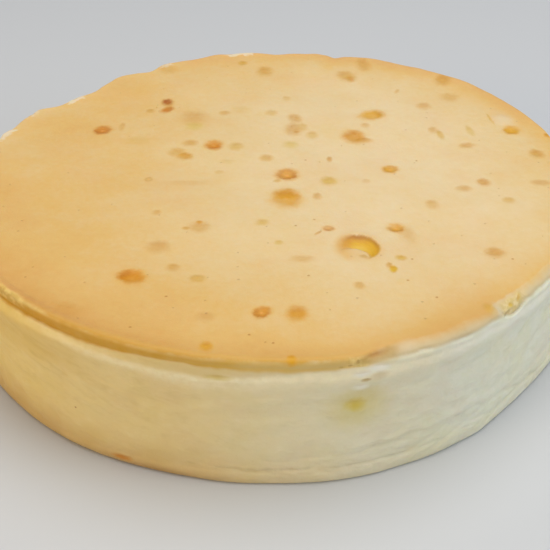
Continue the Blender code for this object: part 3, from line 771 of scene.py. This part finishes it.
# the foot's tones end where it turns under, so that the underside is even
outer = np.where(run > 20.0, sstep(0.02, 0.30, pz), 1.0)
warm_tone_and_painted_lamp_light = 0.45 + (warm_tone_and_painted_lamp_light - 0.45) * outer
toast_and_painted_contact_shade = 0.30 + (toast_and_painted_contact_shade - 0.30) * outer
put_colour("bands", np.stack([golden, pale, beige, warm_tone_and_painted_lamp_light], -1))
put_float("toast_and_painted_contact_shade", toast_and_painted_contact_shade)
low = torn_border(angle)
# the creases: sunk in the bump, and darkened with painted shade in the colour
crease = 0.62 * arc_window(angle, 308.0, 314.8, 1.2) * np.exp(-(((run - low) / 0.42) ** 2))
line, clear = edge_line(angle)
crease = np.maximum(crease, clear * (0.34 * np.exp(-(((run - line) / 0.7) ** 2)) + 0.16 * np.exp(-(((run - line - 3.3) / 0.8) ** 2))))
for line, tilt, start, end, amount in (
    (6.4, -0.02, 256.0, 291.0, 0.42), (5.0, 0.0, 268.0, 286.0, 0.28), (11.6, 0.05, 280.0, 288.5, 0.45), (12.9, -0.02, 288.0, 304.0, 0.35), (9.8, -0.35, 304.0, 318.0, 0.25),
    (25.5, 1.30, 317.0, 328.0, 0.34), (31.0, 0.90, 311.0, 320.0, 0.22),
):
    at = line + tilt * turn_away(angle, (start + end) / 2.0) + 0.5 * n_rim(ca * 16, sa * 16, line) + 0.3 * n_rim(ca * 50, sa * 50, line)
    broken = sstep(-0.35, 0.25, n_rim(ca * 30, sa * 30, line + 4.0))
    crease = np.maximum(crease, amount * broken * (run > 20.0) * arc_window(angle, start, end, 1.5) * np.exp(-(((pz - at) / 0.44) ** 2)))
put_float("crease", crease)
put_float("rounded", rounded)
# painted contact shadow on the foot at the front left
put_float("painted_foot_shadow", outer * (run > 20.0) * around(angle, 251.0, 10.0) * (1.0 - sstep(0.8, 5.0, pz)))
by_rim = np.exp(-np.maximum(inset, 0.0) / 9.0) * (run < 9.0)
# painted highlight on the rim at the back, where the edge faces the light
put_float("sheen", by_rim * (arc_window(angle, 35.0, 130.0, 18.0) + 0.5 * arc_window(angle, 130.0, 200.0, 12.0)))
# painted shade on the rim at the front, where the edge turns down from the light
put_float("shade", by_rim * (0.45 * arc_window(angle, 226.0, 286.0, 10.0) + 1.0 * arc_window(angle, 286.0, 312.0, 8.0)))
put_float("painted_shade_under_lip", painted_shade_under_lip)
put_float("crumb", crumbs(angle, run))
u, v = px - BUBBLE[0], py - BUBBLE[1]
put_vector("bubble", np.stack([u, v, (1.0 - sstep(12.0, 14.0, np.hypot(u, v))) * (run < 1.0)], -1))
put_float("flake", flakes(angle, run))


# ------------------------------------------------------------------ the flat layout of the finish, the OFBake map
def lay_flat(counts):
    n_top, n_wall, n_under, rows = counts
    uv = mesh.uv_layers.new(name="OFBake")
    loops = len(mesh.loops)
    vert = np.zeros(loops, np.int32)
    mesh.loops.foreach_get("vertex_index", vert)
    out = np.zeros((loops, 2), np.float32)
    k_top = n_top * 4
    k_wall = k_top + n_wall * 4
    scale = 0.655 / 232.0
    v = vert[:k_top]
    out[:k_top, 0] = 0.335 + px[v] * scale
    out[:k_top, 1] = 0.665 + py[v] * scale
    # wall: two strips under the disc, cut at the right and at the left
    v = vert[k_top:k_wall].reshape(-1, 4)
    deg = np.degrees(angle[v]) % 360.0
    mid = deg.copy()
    spread = mid.max(1) - mid.min(1) > 180.0
    mid[spread] = np.where(mid[spread] < 180.0, mid[spread] + 360.0, mid[spread])
    centre = mid.mean(1) % 360.0
    front = centre >= 180.0
    local = np.where(front[:, None], mid - 180.0, mid)
    local = np.where(front[:, None] & (local > 181.0), local - 360.0, local)
    local = np.where(front[:, None] & (local < -1.0), local + 360.0, local)
    local = np.where(~front[:, None] & (local > 300.0), local - 360.0, local)
    u = 0.008 + local / 180.0 * 0.984
    depth = run[v]
    per = 0.984 / (math.pi * RADIUS)
    w = np.where(front[:, None], 0.318, 0.158) - depth * per * 0.955
    out[k_top:k_wall, 0] = u.reshape(-1)
    out[k_top:k_wall, 1] = w.reshape(-1)
    v = vert[k_wall:]
    small = 0.30 / 232.0
    out[k_wall:, 0] = 0.835 + px[v] * small
    out[k_wall:, 1] = 0.665 + py[v] * small
    uv.data.foreach_set("uv", out.ravel())


lay_flat(counts)
mesh.shade_smooth()
cake = bpy.data.objects.new("cheesecake_skin", mesh)
bpy.context.scene.collection.objects.link(cake)


# ------------------------------------------------------------------ the finish
def srgb(r, g, b):
    def one(c):
        c /= 255.0
        return c / 12.92 if c <= 0.04045 else ((c + 0.055) / 1.055) ** 2.4
    return (one(r), one(g), one(b), 1.0)


class Net:
    """Short names for building a node tree."""

    def __init__(self, tree):
        self.tree = tree

    def add(self, kind, **props):
        node = self.tree.nodes.new(kind)
        for key, value in props.items():
            setattr(node, key, value)
        return node

    def put(self, socket, value):
        if isinstance(value, bpy.types.NodeSocket):
            self.tree.links.new(value, socket)
        elif value is not None:
            socket.default_value = value

    def math(self, op, a, b=None, c=None, clamp=False):
        node = self.add("ShaderNodeMath", operation=op, use_clamp=clamp)
        for k, v in enumerate((a, b, c)):
            self.put(node.inputs[k], v)
        return node.outputs[0]

    def vec(self, op, a, b=None, scale=None):
        node = self.add("ShaderNodeVectorMath", operation=op)
        self.put(node.inputs[0], a)
        self.put(node.inputs[1], b)
        if scale is not None:
            self.put(node.inputs["Scale"], scale)
        return node.outputs["Value"] if op in ("LENGTH", "DISTANCE", "DOT_PRODUCT") else node.outputs[0]

    def mix(self, factor, a, b, blend="MIX"):
        node = self.add("ShaderNodeMix", data_type="RGBA", blend_type=blend, clamp_factor=True)
        self.put(node.inputs[0], factor)
        self.put(node.inputs[6], a)
        self.put(node.inputs[7], b)
        return node.outputs[2]

    def blend(self, factor, a, b):
        node = self.add("ShaderNodeMix", data_type="FLOAT", clamp_factor=True)
        self.put(node.inputs[0], factor)
        self.put(node.inputs[2], a)
        self.put(node.inputs[3], b)
        return node.outputs[0]

    def smooth(self, x, lo, hi, out_lo=0.0, out_hi=1.0):
        node = self.add("ShaderNodeMapRange", interpolation_type="SMOOTHSTEP")
        for k, v in enumerate((x, lo, hi, out_lo, out_hi)):
            self.put(node.inputs[k], v)
        return node.outputs[0]

    def attr(self, name):
        return self.add("ShaderNodeAttribute", attribute_name=name, attribute_type="GEOMETRY")

    def parts(self, vector):
        node = self.add("ShaderNodeSeparateXYZ")
        self.put(node.inputs[0], vector)
        return node.outputs

    def join(self, x, y, z):
        node = self.add("ShaderNodeCombineXYZ")
        for k, v in enumerate((x, y, z)):
            self.put(node.inputs[k], v)
        return node.outputs[0]

    def noise(self, vector, scale, detail=2.0, rough=0.5, colour=False):
        node = self.add("ShaderNodeTexNoise")
        self.put(node.inputs["Vector"], vector)
        node.inputs["Scale"].default_value = scale
        node.inputs["Detail"].default_value = detail
        node.inputs["Roughness"].default_value = rough
        return node.outputs["Color"] if colour else node.outputs[0]

    def ramp(self, factor, stops):
        node = self.add("ShaderNodeValToRGB")
        ramp = node.color_ramp
        while len(ramp.elements) < len(stops):
            ramp.elements.new(0.5)
        for element, (at, colour) in zip(ramp.elements, stops):
            element.position = at
            element.color = colour
        self.put(node.inputs[0], factor)
        return node.outputs[0]


def cheese_finish():
    material = bpy.data.materials.new("baked_cheese_finish")
    material.use_nodes = True
    tree = material.node_tree
    tree.nodes.clear()
    net = Net(tree)
    output = net.add("ShaderNodeOutputMaterial")
    shader = net.add("ShaderNodeBsdfPrincipled")
    tree.links.new(shader.outputs[0], output.inputs[0])
    place = net.add("ShaderNodeTexCoord").outputs["Object"]

    tone_wide = net.noise(place, 34.0, 2.0, 0.5)         # about 30 mm
    tone_mid = net.noise(place, 120.0, 2.0, 0.55)        # about 8 mm
    tone_small = net.noise(place, 420.0, 2.0, 0.6)       # about 2.4 mm
    tone_grain = net.noise(place, 1500.0, 2.0, 0.6)      # under a millimetre
    flow = net.noise(place, 210.0, 1.0, 0.5, colour=True)

    brown = net.attr("brown").outputs["Fac"]
    run = net.attr("run").outputs["Fac"]
    skin = net.attr("skin").outputs["Fac"]
    toast_and_painted_contact_shade = net.attr("toast_and_painted_contact_shade").outputs["Fac"]
    crumb = net.attr("crumb").outputs["Fac"]
    flake = net.attr("flake").outputs["Fac"]
    bands = net.attr("bands")
    band = net.add("ShaderNodeSeparateColor")
    net.put(band.inputs[0], bands.outputs["Color"])
    golden, pale, beige = band.outputs[0], band.outputs[1], band.outputs[2]
    warm_tone_and_painted_lamp_light = bands.outputs["Alpha"]

    # --- the browned skin
    b = net.math("ADD", brown, net.math("MULTIPLY", net.math("SUBTRACT", tone_wide, 0.5), 0.30))
    b = net.math("ADD", b, net.math("MULTIPLY", net.math("SUBTRACT", tone_mid, 0.5), 0.22))
    b = net.math("ADD", b, net.math("MULTIPLY", net.math("SUBTRACT", tone_small, 0.5), 0.20))
    b = net.math("ADD", b, net.math("MULTIPLY", net.math("SUBTRACT", tone_grain, 0.5), 0.10))
    top = net.ramp(b, (
        (0.0, srgb(236, 211, 166)), (0.25, srgb(232, 201, 144)), (0.55, srgb(229, 186, 110)),
        (0.85, srgb(222, 169, 90)), (1.0, srgb(212, 154, 80)),
    ))
    pink = net.smooth(net.noise(place, 52.0, 1.0, 0.5), 0.48, 0.72, 0.0, 0.15)
    top = net.mix(pink, top, srgb(231, 180, 120))

    # --- the pale wall
    # the wall runs from cool to warm round the cake, partly its own tone, partly painted lamp light
    wall = net.mix(warm_tone_and_painted_lamp_light, srgb(229, 228, 208), srgb(239, 205, 120))
    wall = net.mix(net.smooth(tone_wide, 0.35, 0.7, 0.0, 0.25), wall, net.mix(warm_tone_and_painted_lamp_light, srgb(236, 224, 190), srgb(238, 212, 140)))
    wall = net.mix(net.smooth(tone_mid, 0.45, 0.8, 0.0, 0.25), wall, net.mix(warm_tone_and_painted_lamp_light, srgb(242, 236, 216), srgb(244, 218, 150)))
    wall = net.mix(net.smooth(net.noise(place, 62.0, 1.0, 0.5), 0.50, 0.66, 0.0, 0.26), wall, net.mix(warm_tone_and_painted_lamp_light, srgb(228, 224, 180), srgb(232, 196, 100)))
    wall = net.mix(net.smooth(net.noise(net.vec("ADD", place, (0.3, 0.1, 0.2)), 70.0, 1.0, 0.5), 0.52, 0.68, 0.0, 0.20), wall, net.mix(warm_tone_and_painted_lamp_light, srgb(226, 210, 188), srgb(228, 188, 116)))
    streak = net.noise(net.vec("MULTIPLY", place, (1.0, 1.0, 1.7)), 150.0, 3.0, 0.62)
    wall = net.mix(net.smooth(streak, 0.52, 0.72, 0.0, 0.26), wall, net.mix(warm_tone_and_painted_lamp_light, srgb(216, 214, 186), srgb(222, 184, 98)))
    along = net.parts(place)
    skew = net.join(net.math("MULTIPLY", along[0], 0.22), net.math("MULTIPLY", along[1], 0.22), net.math("ADD", along[2], net.math("MULTIPLY", along[0], 0.34)))
    diagonal = net.noise(skew, 460.0, 3.0, 0.6)
    at_left = net.smooth(warm_tone_and_painted_lamp_light, 0.62, 0.84)
    at_left = net.math("MULTIPLY", at_left, net.smooth(along[2], 0.016, 0.030, 0.25, 1.0))
    wall = net.mix(net.math("MULTIPLY", net.smooth(diagonal, 0.48, 0.72, 0.0, 0.30), at_left), wall, srgb(206, 172, 92))
    wall = net.mix(net.math("MULTIPLY", net.smooth(diagonal, 0.50, 0.30, 0.0, 0.20), at_left), wall, srgb(248, 220, 142))
    wall = net.mix(net.smooth(streak, 0.48, 0.30, 0.0, 0.22), wall, net.mix(warm_tone_and_painted_lamp_light, srgb(244, 240, 224), srgb(246, 220, 152)))
    # the pale lip with its painted highlight, broken up by the small tone
    pale_lip_highlight = net.math("MULTIPLY", pale, net.smooth(tone_small, 0.34, 0.62, 0.66, 1.0))
    wall = net.mix(pale_lip_highlight, wall, net.mix(net.smooth(warm_tone_and_painted_lamp_light, 0.60, 1.0), net.mix(net.smooth(warm_tone_and_painted_lamp_light, 0.02, 0.26), srgb(246, 240, 222), srgb(255, 239, 200)), srgb(246, 219, 150)))
    # the beige band of the rolled edge, with the painted recess shade at the front
    wall = net.mix(net.math("MULTIPLY", beige, 0.85), wall, net.mix(net.smooth(warm_tone_and_painted_lamp_light, 0.3, 0.7), srgb(217, 189, 138), srgb(219, 187, 116)))
    # painted shade under the lip
    wall = net.mix(net.math("MULTIPLY", net.attr("painted_shade_under_lip").outputs["Fac"], 0.48), wall, net.mix(net.smooth(warm_tone_and_painted_lamp_light, 0.55, 0.95), srgb(210, 188, 130), srgb(222, 180, 76)))
    # the browned foot, with painted contact shadow at the front left
    wall = net.mix(net.math("MULTIPLY", toast_and_painted_contact_shade, 0.75), wall, srgb(200, 156, 90))

    # painted contact shadow on the foot at the front left
    wall = net.mix(net.math("MULTIPLY", net.attr("painted_foot_shadow").outputs["Fac"], 0.55), wall, srgb(168, 122, 66))

    # --- skin over wall, with an uneven border
    border = net.math("ADD", skin, net.math("MULTIPLY", net.math("SUBTRACT", tone_mid, 0.5), 1.8))
    border = net.math("ADD", border, net.math("MULTIPLY", net.math("SUBTRACT", tone_small, 0.5), 1.2))
    on_skin = net.smooth(border, net.blend(beige, -0.8, -1.9), net.blend(beige, 1.1, 2.4))
    # painted shade on the rounded edge above the golden strip
    top = net.mix(net.math("MULTIPLY", net.attr("rounded").outputs["Fac"], 0.72), top, srgb(212, 164, 58))
    # painted shade on the rim at the front
    top = net.mix(net.math("MULTIPLY", net.attr("shade").outputs["Fac"], 0.55), top, srgb(208, 160, 88))
    # painted highlight on the rim at the back
    top = net.mix(net.math("MULTIPLY", net.attr("sheen").outputs["Fac"], 0.30), top, srgb(250, 216, 160))
    colour = net.mix(on_skin, wall, top)
    g = net.math("MULTIPLY", golden, net.smooth(tone_mid, 0.1, 0.7, 0.75, 1.0))
    colour = net.mix(g, colour, net.mix(net.smooth(warm_tone_and_painted_lamp_light, 0.45, 0.9), srgb(220, 176, 62), srgb(210, 153, 28)))
    golden_rag = net.smooth(warm_tone_and_painted_lamp_light, 0.12, 0.40)
    rag = net.mix(net.smooth(tone_small, 0.40, 0.64), net.mix(golden_rag, srgb(219, 190, 116), srgb(212, 172, 84)), net.mix(golden_rag, srgb(240, 214, 154), srgb(236, 202, 120)))
    colour = net.mix(net.math("MULTIPLY", crumb, 0.80), colour, rag)
    colour = net.mix(net.smooth(net.math("MULTIPLY", flake, net.smooth(tone_small, 0.30, 0.58, 0.45, 1.30)), 0.20, 0.85), colour, srgb(234, 214, 178))

    crease = net.attr("crease").outputs["Fac"]
    # painted shade in the creases
    colour = net.mix(net.math("MULTIPLY", crease, 0.50), colour, net.mix(warm_tone_and_painted_lamp_light, srgb(176, 164, 118), srgb(186, 146, 84)))

    # --- marks
    height = net.math("MULTIPLY", net.math("SUBTRACT", tone_mid, 0.5), 0.26)
    height = net.math("ADD", height, net.math("MULTIPLY", net.math("SUBTRACT", tone_small, 0.5), 0.26))
    height = net.math("ADD", height, net.math("MULTIPLY", net.math("SUBTRACT", tone_grain, 0.5), 0.10))
    # the wall's fine wrinkles run along it
    stretched = net.vec("MULTIPLY", net.vec("ADD", place, net.vec("SCALE", net.vec("SUBTRACT", flow, (0.5, 0.5, 0.5)), scale=0.004)), (1.0, 1.0, 1.8))
    wrinkle = net.noise(stretched, 190.0, 3.0, 0.6)
    wrinkle = net.math("MULTIPLY", net.math("SUBTRACT", wrinkle, 0.5), net.smooth(run, 11.0, 20.0, 0.0, 0.62))
    height = net.math("ADD", height, wrinkle)
    height = net.math("SUBTRACT", height, net.math("MULTIPLY", crease, 0.7))
    for k in range(LAYERS):
        # a next to nothing of the relief so far, so that the layers are worked out one after another
        wait = net.math("MULTIPLY", height, 1e-9)
        local = net.attr(f"mark_{k + 1}").outputs["Vector"]
        look = net.attr(f"look_{k + 1}")
        u, v, soft = (net.math("ADD", part, wait) for part in net.parts(local))
        sep = net.add("ShaderNodeSeparateColor")
        net.put(sep.inputs[0], look.outputs["Color"])
        strength, hue, ring = (net.math("ADD", part, wait) for part in (sep.outputs[0], sep.outputs[1], sep.outputs[2]))
        side = look.outputs["Alpha"]
        inside = net.smooth(soft, 0.0, 0.1)
        seedling = net.join(u, v, net.math("MULTIPLY", strength, 19.0))
        wobble = net.noise(seedling, 1.05, 3.0, 0.62, colour=True)
        wob = net.vec("SUBTRACT", wobble, (0.5, 0.5, 0.5))
        wob = net.vec("SCALE", wob, scale=0.80)
        flat = net.join(u, v, 0.0)
        bent = net.vec("MULTIPLY", net.vec("ADD", flat, wob), (1.0, 1.0, 0.0))
        dist = net.vec("LENGTH", bent)
        near_side = net.smooth(net.parts(flat)[1], 0.35, -0.75, 0.0, 0.26)      # the near edge fades more softly
        lo = net.math("SUBTRACT", net.math("SUBTRACT", 0.92, soft), near_side)
        hi = net.math("ADD", net.math("ADD", 1.10, soft), net.math("MULTIPLY", near_side, 0.6))
        fill = net.math("SUBTRACT", 1.0, net.smooth(dist, lo, hi))
        ring_in = net.smooth(dist, 0.40, 0.82)
        ring_out = net.math("SUBTRACT", 1.0, net.smooth(dist, 0.88, 1.22))
        rings = net.math("MULTIPLY", ring_in, ring_out)
        bent_v = net.parts(bent)[1]
        lean = net.math("DIVIDE", bent_v, net.math("ADD", dist, 0.05))
        lean = net.smooth(lean, -0.55, 0.75)
        lean = net.blend(side, 1.0, lean)
        patchy = net.smooth(net.noise(seedling, 1.5, 1.0, 0.5), 0.36, 0.60, 0.62, 1.05)
        rings = net.math("MULTIPLY", net.math("MULTIPLY", rings, lean), patchy)
        fill_lean = net.math("MULTIPLY", fill, net.blend(net.math("MULTIPLY", side, 0.45), 1.0, lean))
        speck = net.smooth(tone_small, 0.25, 0.75, 0.90, 1.10)
        power = net.math("MULTIPLY", net.math("MULTIPLY", strength, speck), inside)
        tint = net.ramp(hue, (
            (0.0, srgb(226, 190, 16)), (0.12, srgb(224, 172, 18)), (0.28, srgb(218, 150, 16)), (0.49, srgb(212, 130, 10)),
            (0.69, srgb(164, 80, 8)), (0.735, srgb(186, 136, 56)), (0.76, srgb(196, 164, 92)), (0.94, srgb(236, 222, 196)),
            (1.0, srgb(246, 240, 222)),
        ))
        # faint marks are a little shaded, not only tinted
        faint = net.math("MULTIPLY", net.smooth(strength, 0.85, 0.42), net.smooth(hue, 0.78, 0.66))
        tint = net.mix(faint, tint, net.mix(1.0, tint, srgb(237, 247, 255), "MULTIPLY"))
        glow = net.math("MULTIPLY", net.math("SUBTRACT", 1.0, net.smooth(dist, 0.55, 1.95)), 0.42)
        colour = net.mix(net.math("MULTIPLY", glow, power), colour, net.mix(net.smooth(hue, 0.70, 0.74), net.mix(net.smooth(hue, 0.03, 0.16), srgb(224, 204, 84), srgb(230, 172, 58)), tint))
        body = net.math("MULTIPLY", fill_lean, net.math("SUBTRACT", 1.0, net.math("MULTIPLY", ring, 0.26)))
        colour = net.mix(net.math("MULTIPLY", body, power, clamp=True), colour, tint)
        # painted shade on the mark's own +Y side of its dent, and in its ring along with the ring's browned edge
        dent_side_shade = net.math("MULTIPLY", fill, net.smooth(bent_v, 0.05, 0.80, 0.0, 0.42))
        dark = net.math("MAXIMUM", dent_side_shade, net.math("MULTIPLY", net.math("MULTIPLY", rings, ring), 0.68))
        colour = net.mix(net.math("MULTIPLY", dark, power, clamp=True), colour, net.mix(1.0, tint, srgb(212, 184, 120), "MULTIPLY"))
        # a painted highlight in the centre of ringed marks
        heart_highlight = net.math("MULTIPLY", net.math("SUBTRACT", 1.0, net.smooth(dist, 0.06, 0.38)), net.math("MULTIPLY", ring, strength))
        heart_highlight = net.math("MULTIPLY", net.math("MULTIPLY", heart_highlight, inside), net.math("SUBTRACT", 1.0, net.math("MULTIPLY", side, 0.6)))
        colour = net.mix(net.math("MULTIPLY", heart_highlight, 0.85), colour, srgb(248, 178, 92))
        dent = net.math("MULTIPLY", net.math("MULTIPLY", fill, inside), net.math("MULTIPLY", strength, -0.22))
        height = net.math("ADD", height, dent)

    # --- the open bubble
    wait = net.math("MULTIPLY", height, 1e-9)
    bu, bv, near = (net.math("ADD", part, wait) for part in net.parts(net.attr("bubble").outputs["Vector"]))
    sway = net.parts(net.vec("SCALE", net.vec("SUBTRACT", net.noise(place, 330.0, 2.0, 0.6, colour=True), (0.5, 0.5, 0.5)), scale=0.9))
    bu = net.math("ADD", bu, sway[0])
    bv = net.math("ADD", bv, sway[1])
    away = net.vec("LENGTH", net.vec("DIVIDE", net.join(bu, bv, 0.0), (BUBBLE[2], BUBBLE[3], 1.0)))
    flap_at = net.vec("LENGTH", net.vec("DIVIDE", net.join(net.math("ADD", bu, 1.7), net.math("ADD", bv, 4.7), 0.0), (5.1, 5.3, 1.0)))
    leftish = net.smooth(bu, -1.0, -5.5)
    open_part = net.math("SUBTRACT", 1.0, net.smooth(away, net.blend(leftish, 0.90, 0.70), net.blend(leftish, 1.06, 1.26)))
    open_part = net.math("MULTIPLY", open_part, net.smooth(flap_at, net.blend(leftish, 0.74, 0.58), net.blend(leftish, 1.16, 1.45)))
    open_part = net.math("MULTIPLY", open_part, near)
    around_it = net.math("MULTIPLY", net.math("MULTIPLY", net.math("SUBTRACT", 1.0, net.smooth(away, 0.9, 1.45)), net.blend(leftish, 0.35, 0.70)), near)
    colour = net.mix(around_it, colour, srgb(228, 178, 96))
    floor_tint = net.ramp(away, (
        (0.30, srgb(234, 192, 80)), (0.58, srgb(228, 176, 48)), (0.76, srgb(216, 158, 40)), (0.90, srgb(194, 130, 32)), (1.0, srgb(166, 108, 30)),
    ))
    floor_tint = net.mix(net.smooth(bu, 0.5, 4.5, 0.0, 0.80), floor_tint, srgb(230, 180, 44))
    floor_tint = net.mix(net.smooth(bu, -0.5, -4.5, 0.0, 0.85), floor_tint, srgb(222, 162, 72))
    # painted shade on the bubble's far inner wall
    bubble_wall_shade = net.math("MULTIPLY", net.smooth(away, 0.74, 0.92), net.smooth(bv, -2.0, 4.0, 0.22, 0.95))
    bubble_wall_shade = net.math("MULTIPLY", bubble_wall_shade, net.smooth(bu, -6.5, -2.0, 0.0, 1.0))
    floor_tint = net.mix(net.math("MULTIPLY", bubble_wall_shade, 0.72), floor_tint, srgb(182, 126, 48))
    open_part = net.math("MULTIPLY", open_part, net.smooth(bu, -8.6, -4.4, 0.35, 1.0))
    colour = net.mix(open_part, colour, floor_tint)
    # painted shade along the edge of the sagged flap
    flap_edge_shade = net.math("MULTIPLY", net.math("SUBTRACT", 1.0, net.smooth(net.math("ABSOLUTE", net.math("SUBTRACT", flap_at, 0.97)), 0.0, 0.09)), near)
    flap_edge_shade = net.math("MULTIPLY", flap_edge_shade, net.math("SUBTRACT", 1.0, net.smooth(away, 0.85, 1.0)))
    colour = net.mix(net.math("MULTIPLY", flap_edge_shade, 0.40), colour, srgb(206, 156, 78))

    # --- scattered pits on the skin
    pits = net.add("ShaderNodeTexVoronoi", feature="F1", voronoi_dimensions="2D")
    net.put(pits.inputs["Vector"], place)
    pits.inputs["Scale"].default_value = 110.0
    pits.inputs["Randomness"].default_value = 1.0
    sep = net.add("ShaderNodeSeparateColor")
    net.put(sep.inputs[0], pits.outputs["Color"])
    few = net.math("MULTIPLY", net.smooth(sep.outputs[0], 0.80, 0.84), net.smooth(run, 4.0, 2.0))
    size = net.math("MULTIPLY", sep.outputs[1], 0.030)
    pit = net.math("SUBTRACT", 1.0, net.smooth(pits.outputs["Distance"], 0.015, net.math("ADD", size, 0.035)))
    pit = net.math("MULTIPLY", pit, few)
    colour = net.mix(net.math("MULTIPLY", pit, 0.30), colour, srgb(172, 124, 60))
    height = net.math("SUBTRACT", height, net.math("MULTIPLY", pit, 0.35))

    bump = net.add("ShaderNodeBump")
    bump.inputs["Strength"].default_value = 0.75
    bump.inputs["Distance"].default_value = 0.0006
    net.put(bump.inputs["Height"], height)

    rough = net.smooth(tone_mid, 0.2, 0.8, 0.44, 0.60)
    net.put(shader.inputs["Base Color"], colour)
    net.put(shader.inputs["Roughness"], rough)
    net.put(shader.inputs["Normal"], bump.outputs[0])
    shader.inputs["Specular IOR Level"].default_value = 0.38
    shader.inputs["Subsurface Weight"].default_value = 0.22
    shader.inputs["Subsurface Radius"].default_value = (1.0, 0.62, 0.30)
    shader.inputs["Subsurface Scale"].default_value = 0.0026
    return material


cake.data.materials.append(cheese_finish())
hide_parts("cheesecake")
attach(cake, "root")

# ------------------------------------------------------------------ the plain stage
floor_mesh = bpy.data.meshes.new("floor")
floor_mesh.from_pydata([(-4, -4, 0), (4, -4, 0), (4, 4, 0), (-4, 4, 0)], [], [(0, 1, 2, 3)])
floor = bpy.data.objects.new("floor", floor_mesh)
bpy.context.scene.collection.objects.link(floor)
floor_finish = bpy.data.materials.new("pale_floor")
floor_finish.use_nodes = True
fs = floor_finish.node_tree.nodes["Principled BSDF"]
fs.inputs["Base Color"].default_value = (0.62, 0.63, 0.65, 1.0)
fs.inputs["Roughness"].default_value = 0.7
floor.data.materials.append(floor_finish)

world = bpy.data.worlds.new("studio")
bpy.context.scene.world = world
world.use_nodes = True
world.node_tree.nodes["Background"].inputs[0].default_value = (0.90, 0.95, 1.0, 1.0)
world.node_tree.nodes["Background"].inputs[1].default_value = 0.28


def soft_light(name, place, target, size, power, colour):
    data = bpy.data.lights.new(name, "AREA")
    data.shape = "DISK"
    data.size = size
    data.energy = power
    data.color = colour
    light = bpy.data.objects.new(name, data)
    light.location = place
    light.rotation_euler = (Vector(target) - Vector(place)).to_track_quat("-Z", "Y").to_euler()
    bpy.context.scene.collection.objects.link(light)
    return light


soft_light("overhead", (0.1, 0.1, 1.3), (0, 0, 0), 1.4, 11.4, (1.0, 0.985, 0.96))
soft_light("window", (1.1, -0.5, 0.65), (0, 0, 0.02), 0.9, 5.6, (0.86, 0.94, 1.0))
soft_light("lamp", (-1.0, -0.75, 0.45), (0, 0, 0.02), 0.7, 5.4, (1.0, 0.80, 0.50))

# ------------------------------------------------------------------ the camera
camera_data = bpy.data.cameras.new("camera")
camera_data.sensor_width = 36.0
camera_data.lens = 36.0 * 1000.0 / 550.0
camera_data.clip_start = 0.01
camera_data.clip_end = 50.0
camera = bpy.data.objects.new("camera", camera_data)
right = Vector((0.999999, -0.001334, 0.000880)).normalized()
forward = Vector((0.001598, 0.836738, -0.547602)).normalized()
up = right.cross(forward).normalized()
right = forward.cross(up).normalized()
basis = Matrix((right, up, -forward)).transposed()
camera.matrix_world = Matrix.Translation(Vector(((0.0 + SHIFT[0]) / 1000.0, (-326.727 + SHIFT[1]) / 1000.0, 0.215397))) @ basis.to_4x4()
bpy.context.scene.collection.objects.link(camera)
bpy.context.scene.camera = camera

bpy.context.scene.view_settings.view_transform = "Standard"
bpy.context.scene.view_settings.look = "None"

bpy.context.view_layer.update()
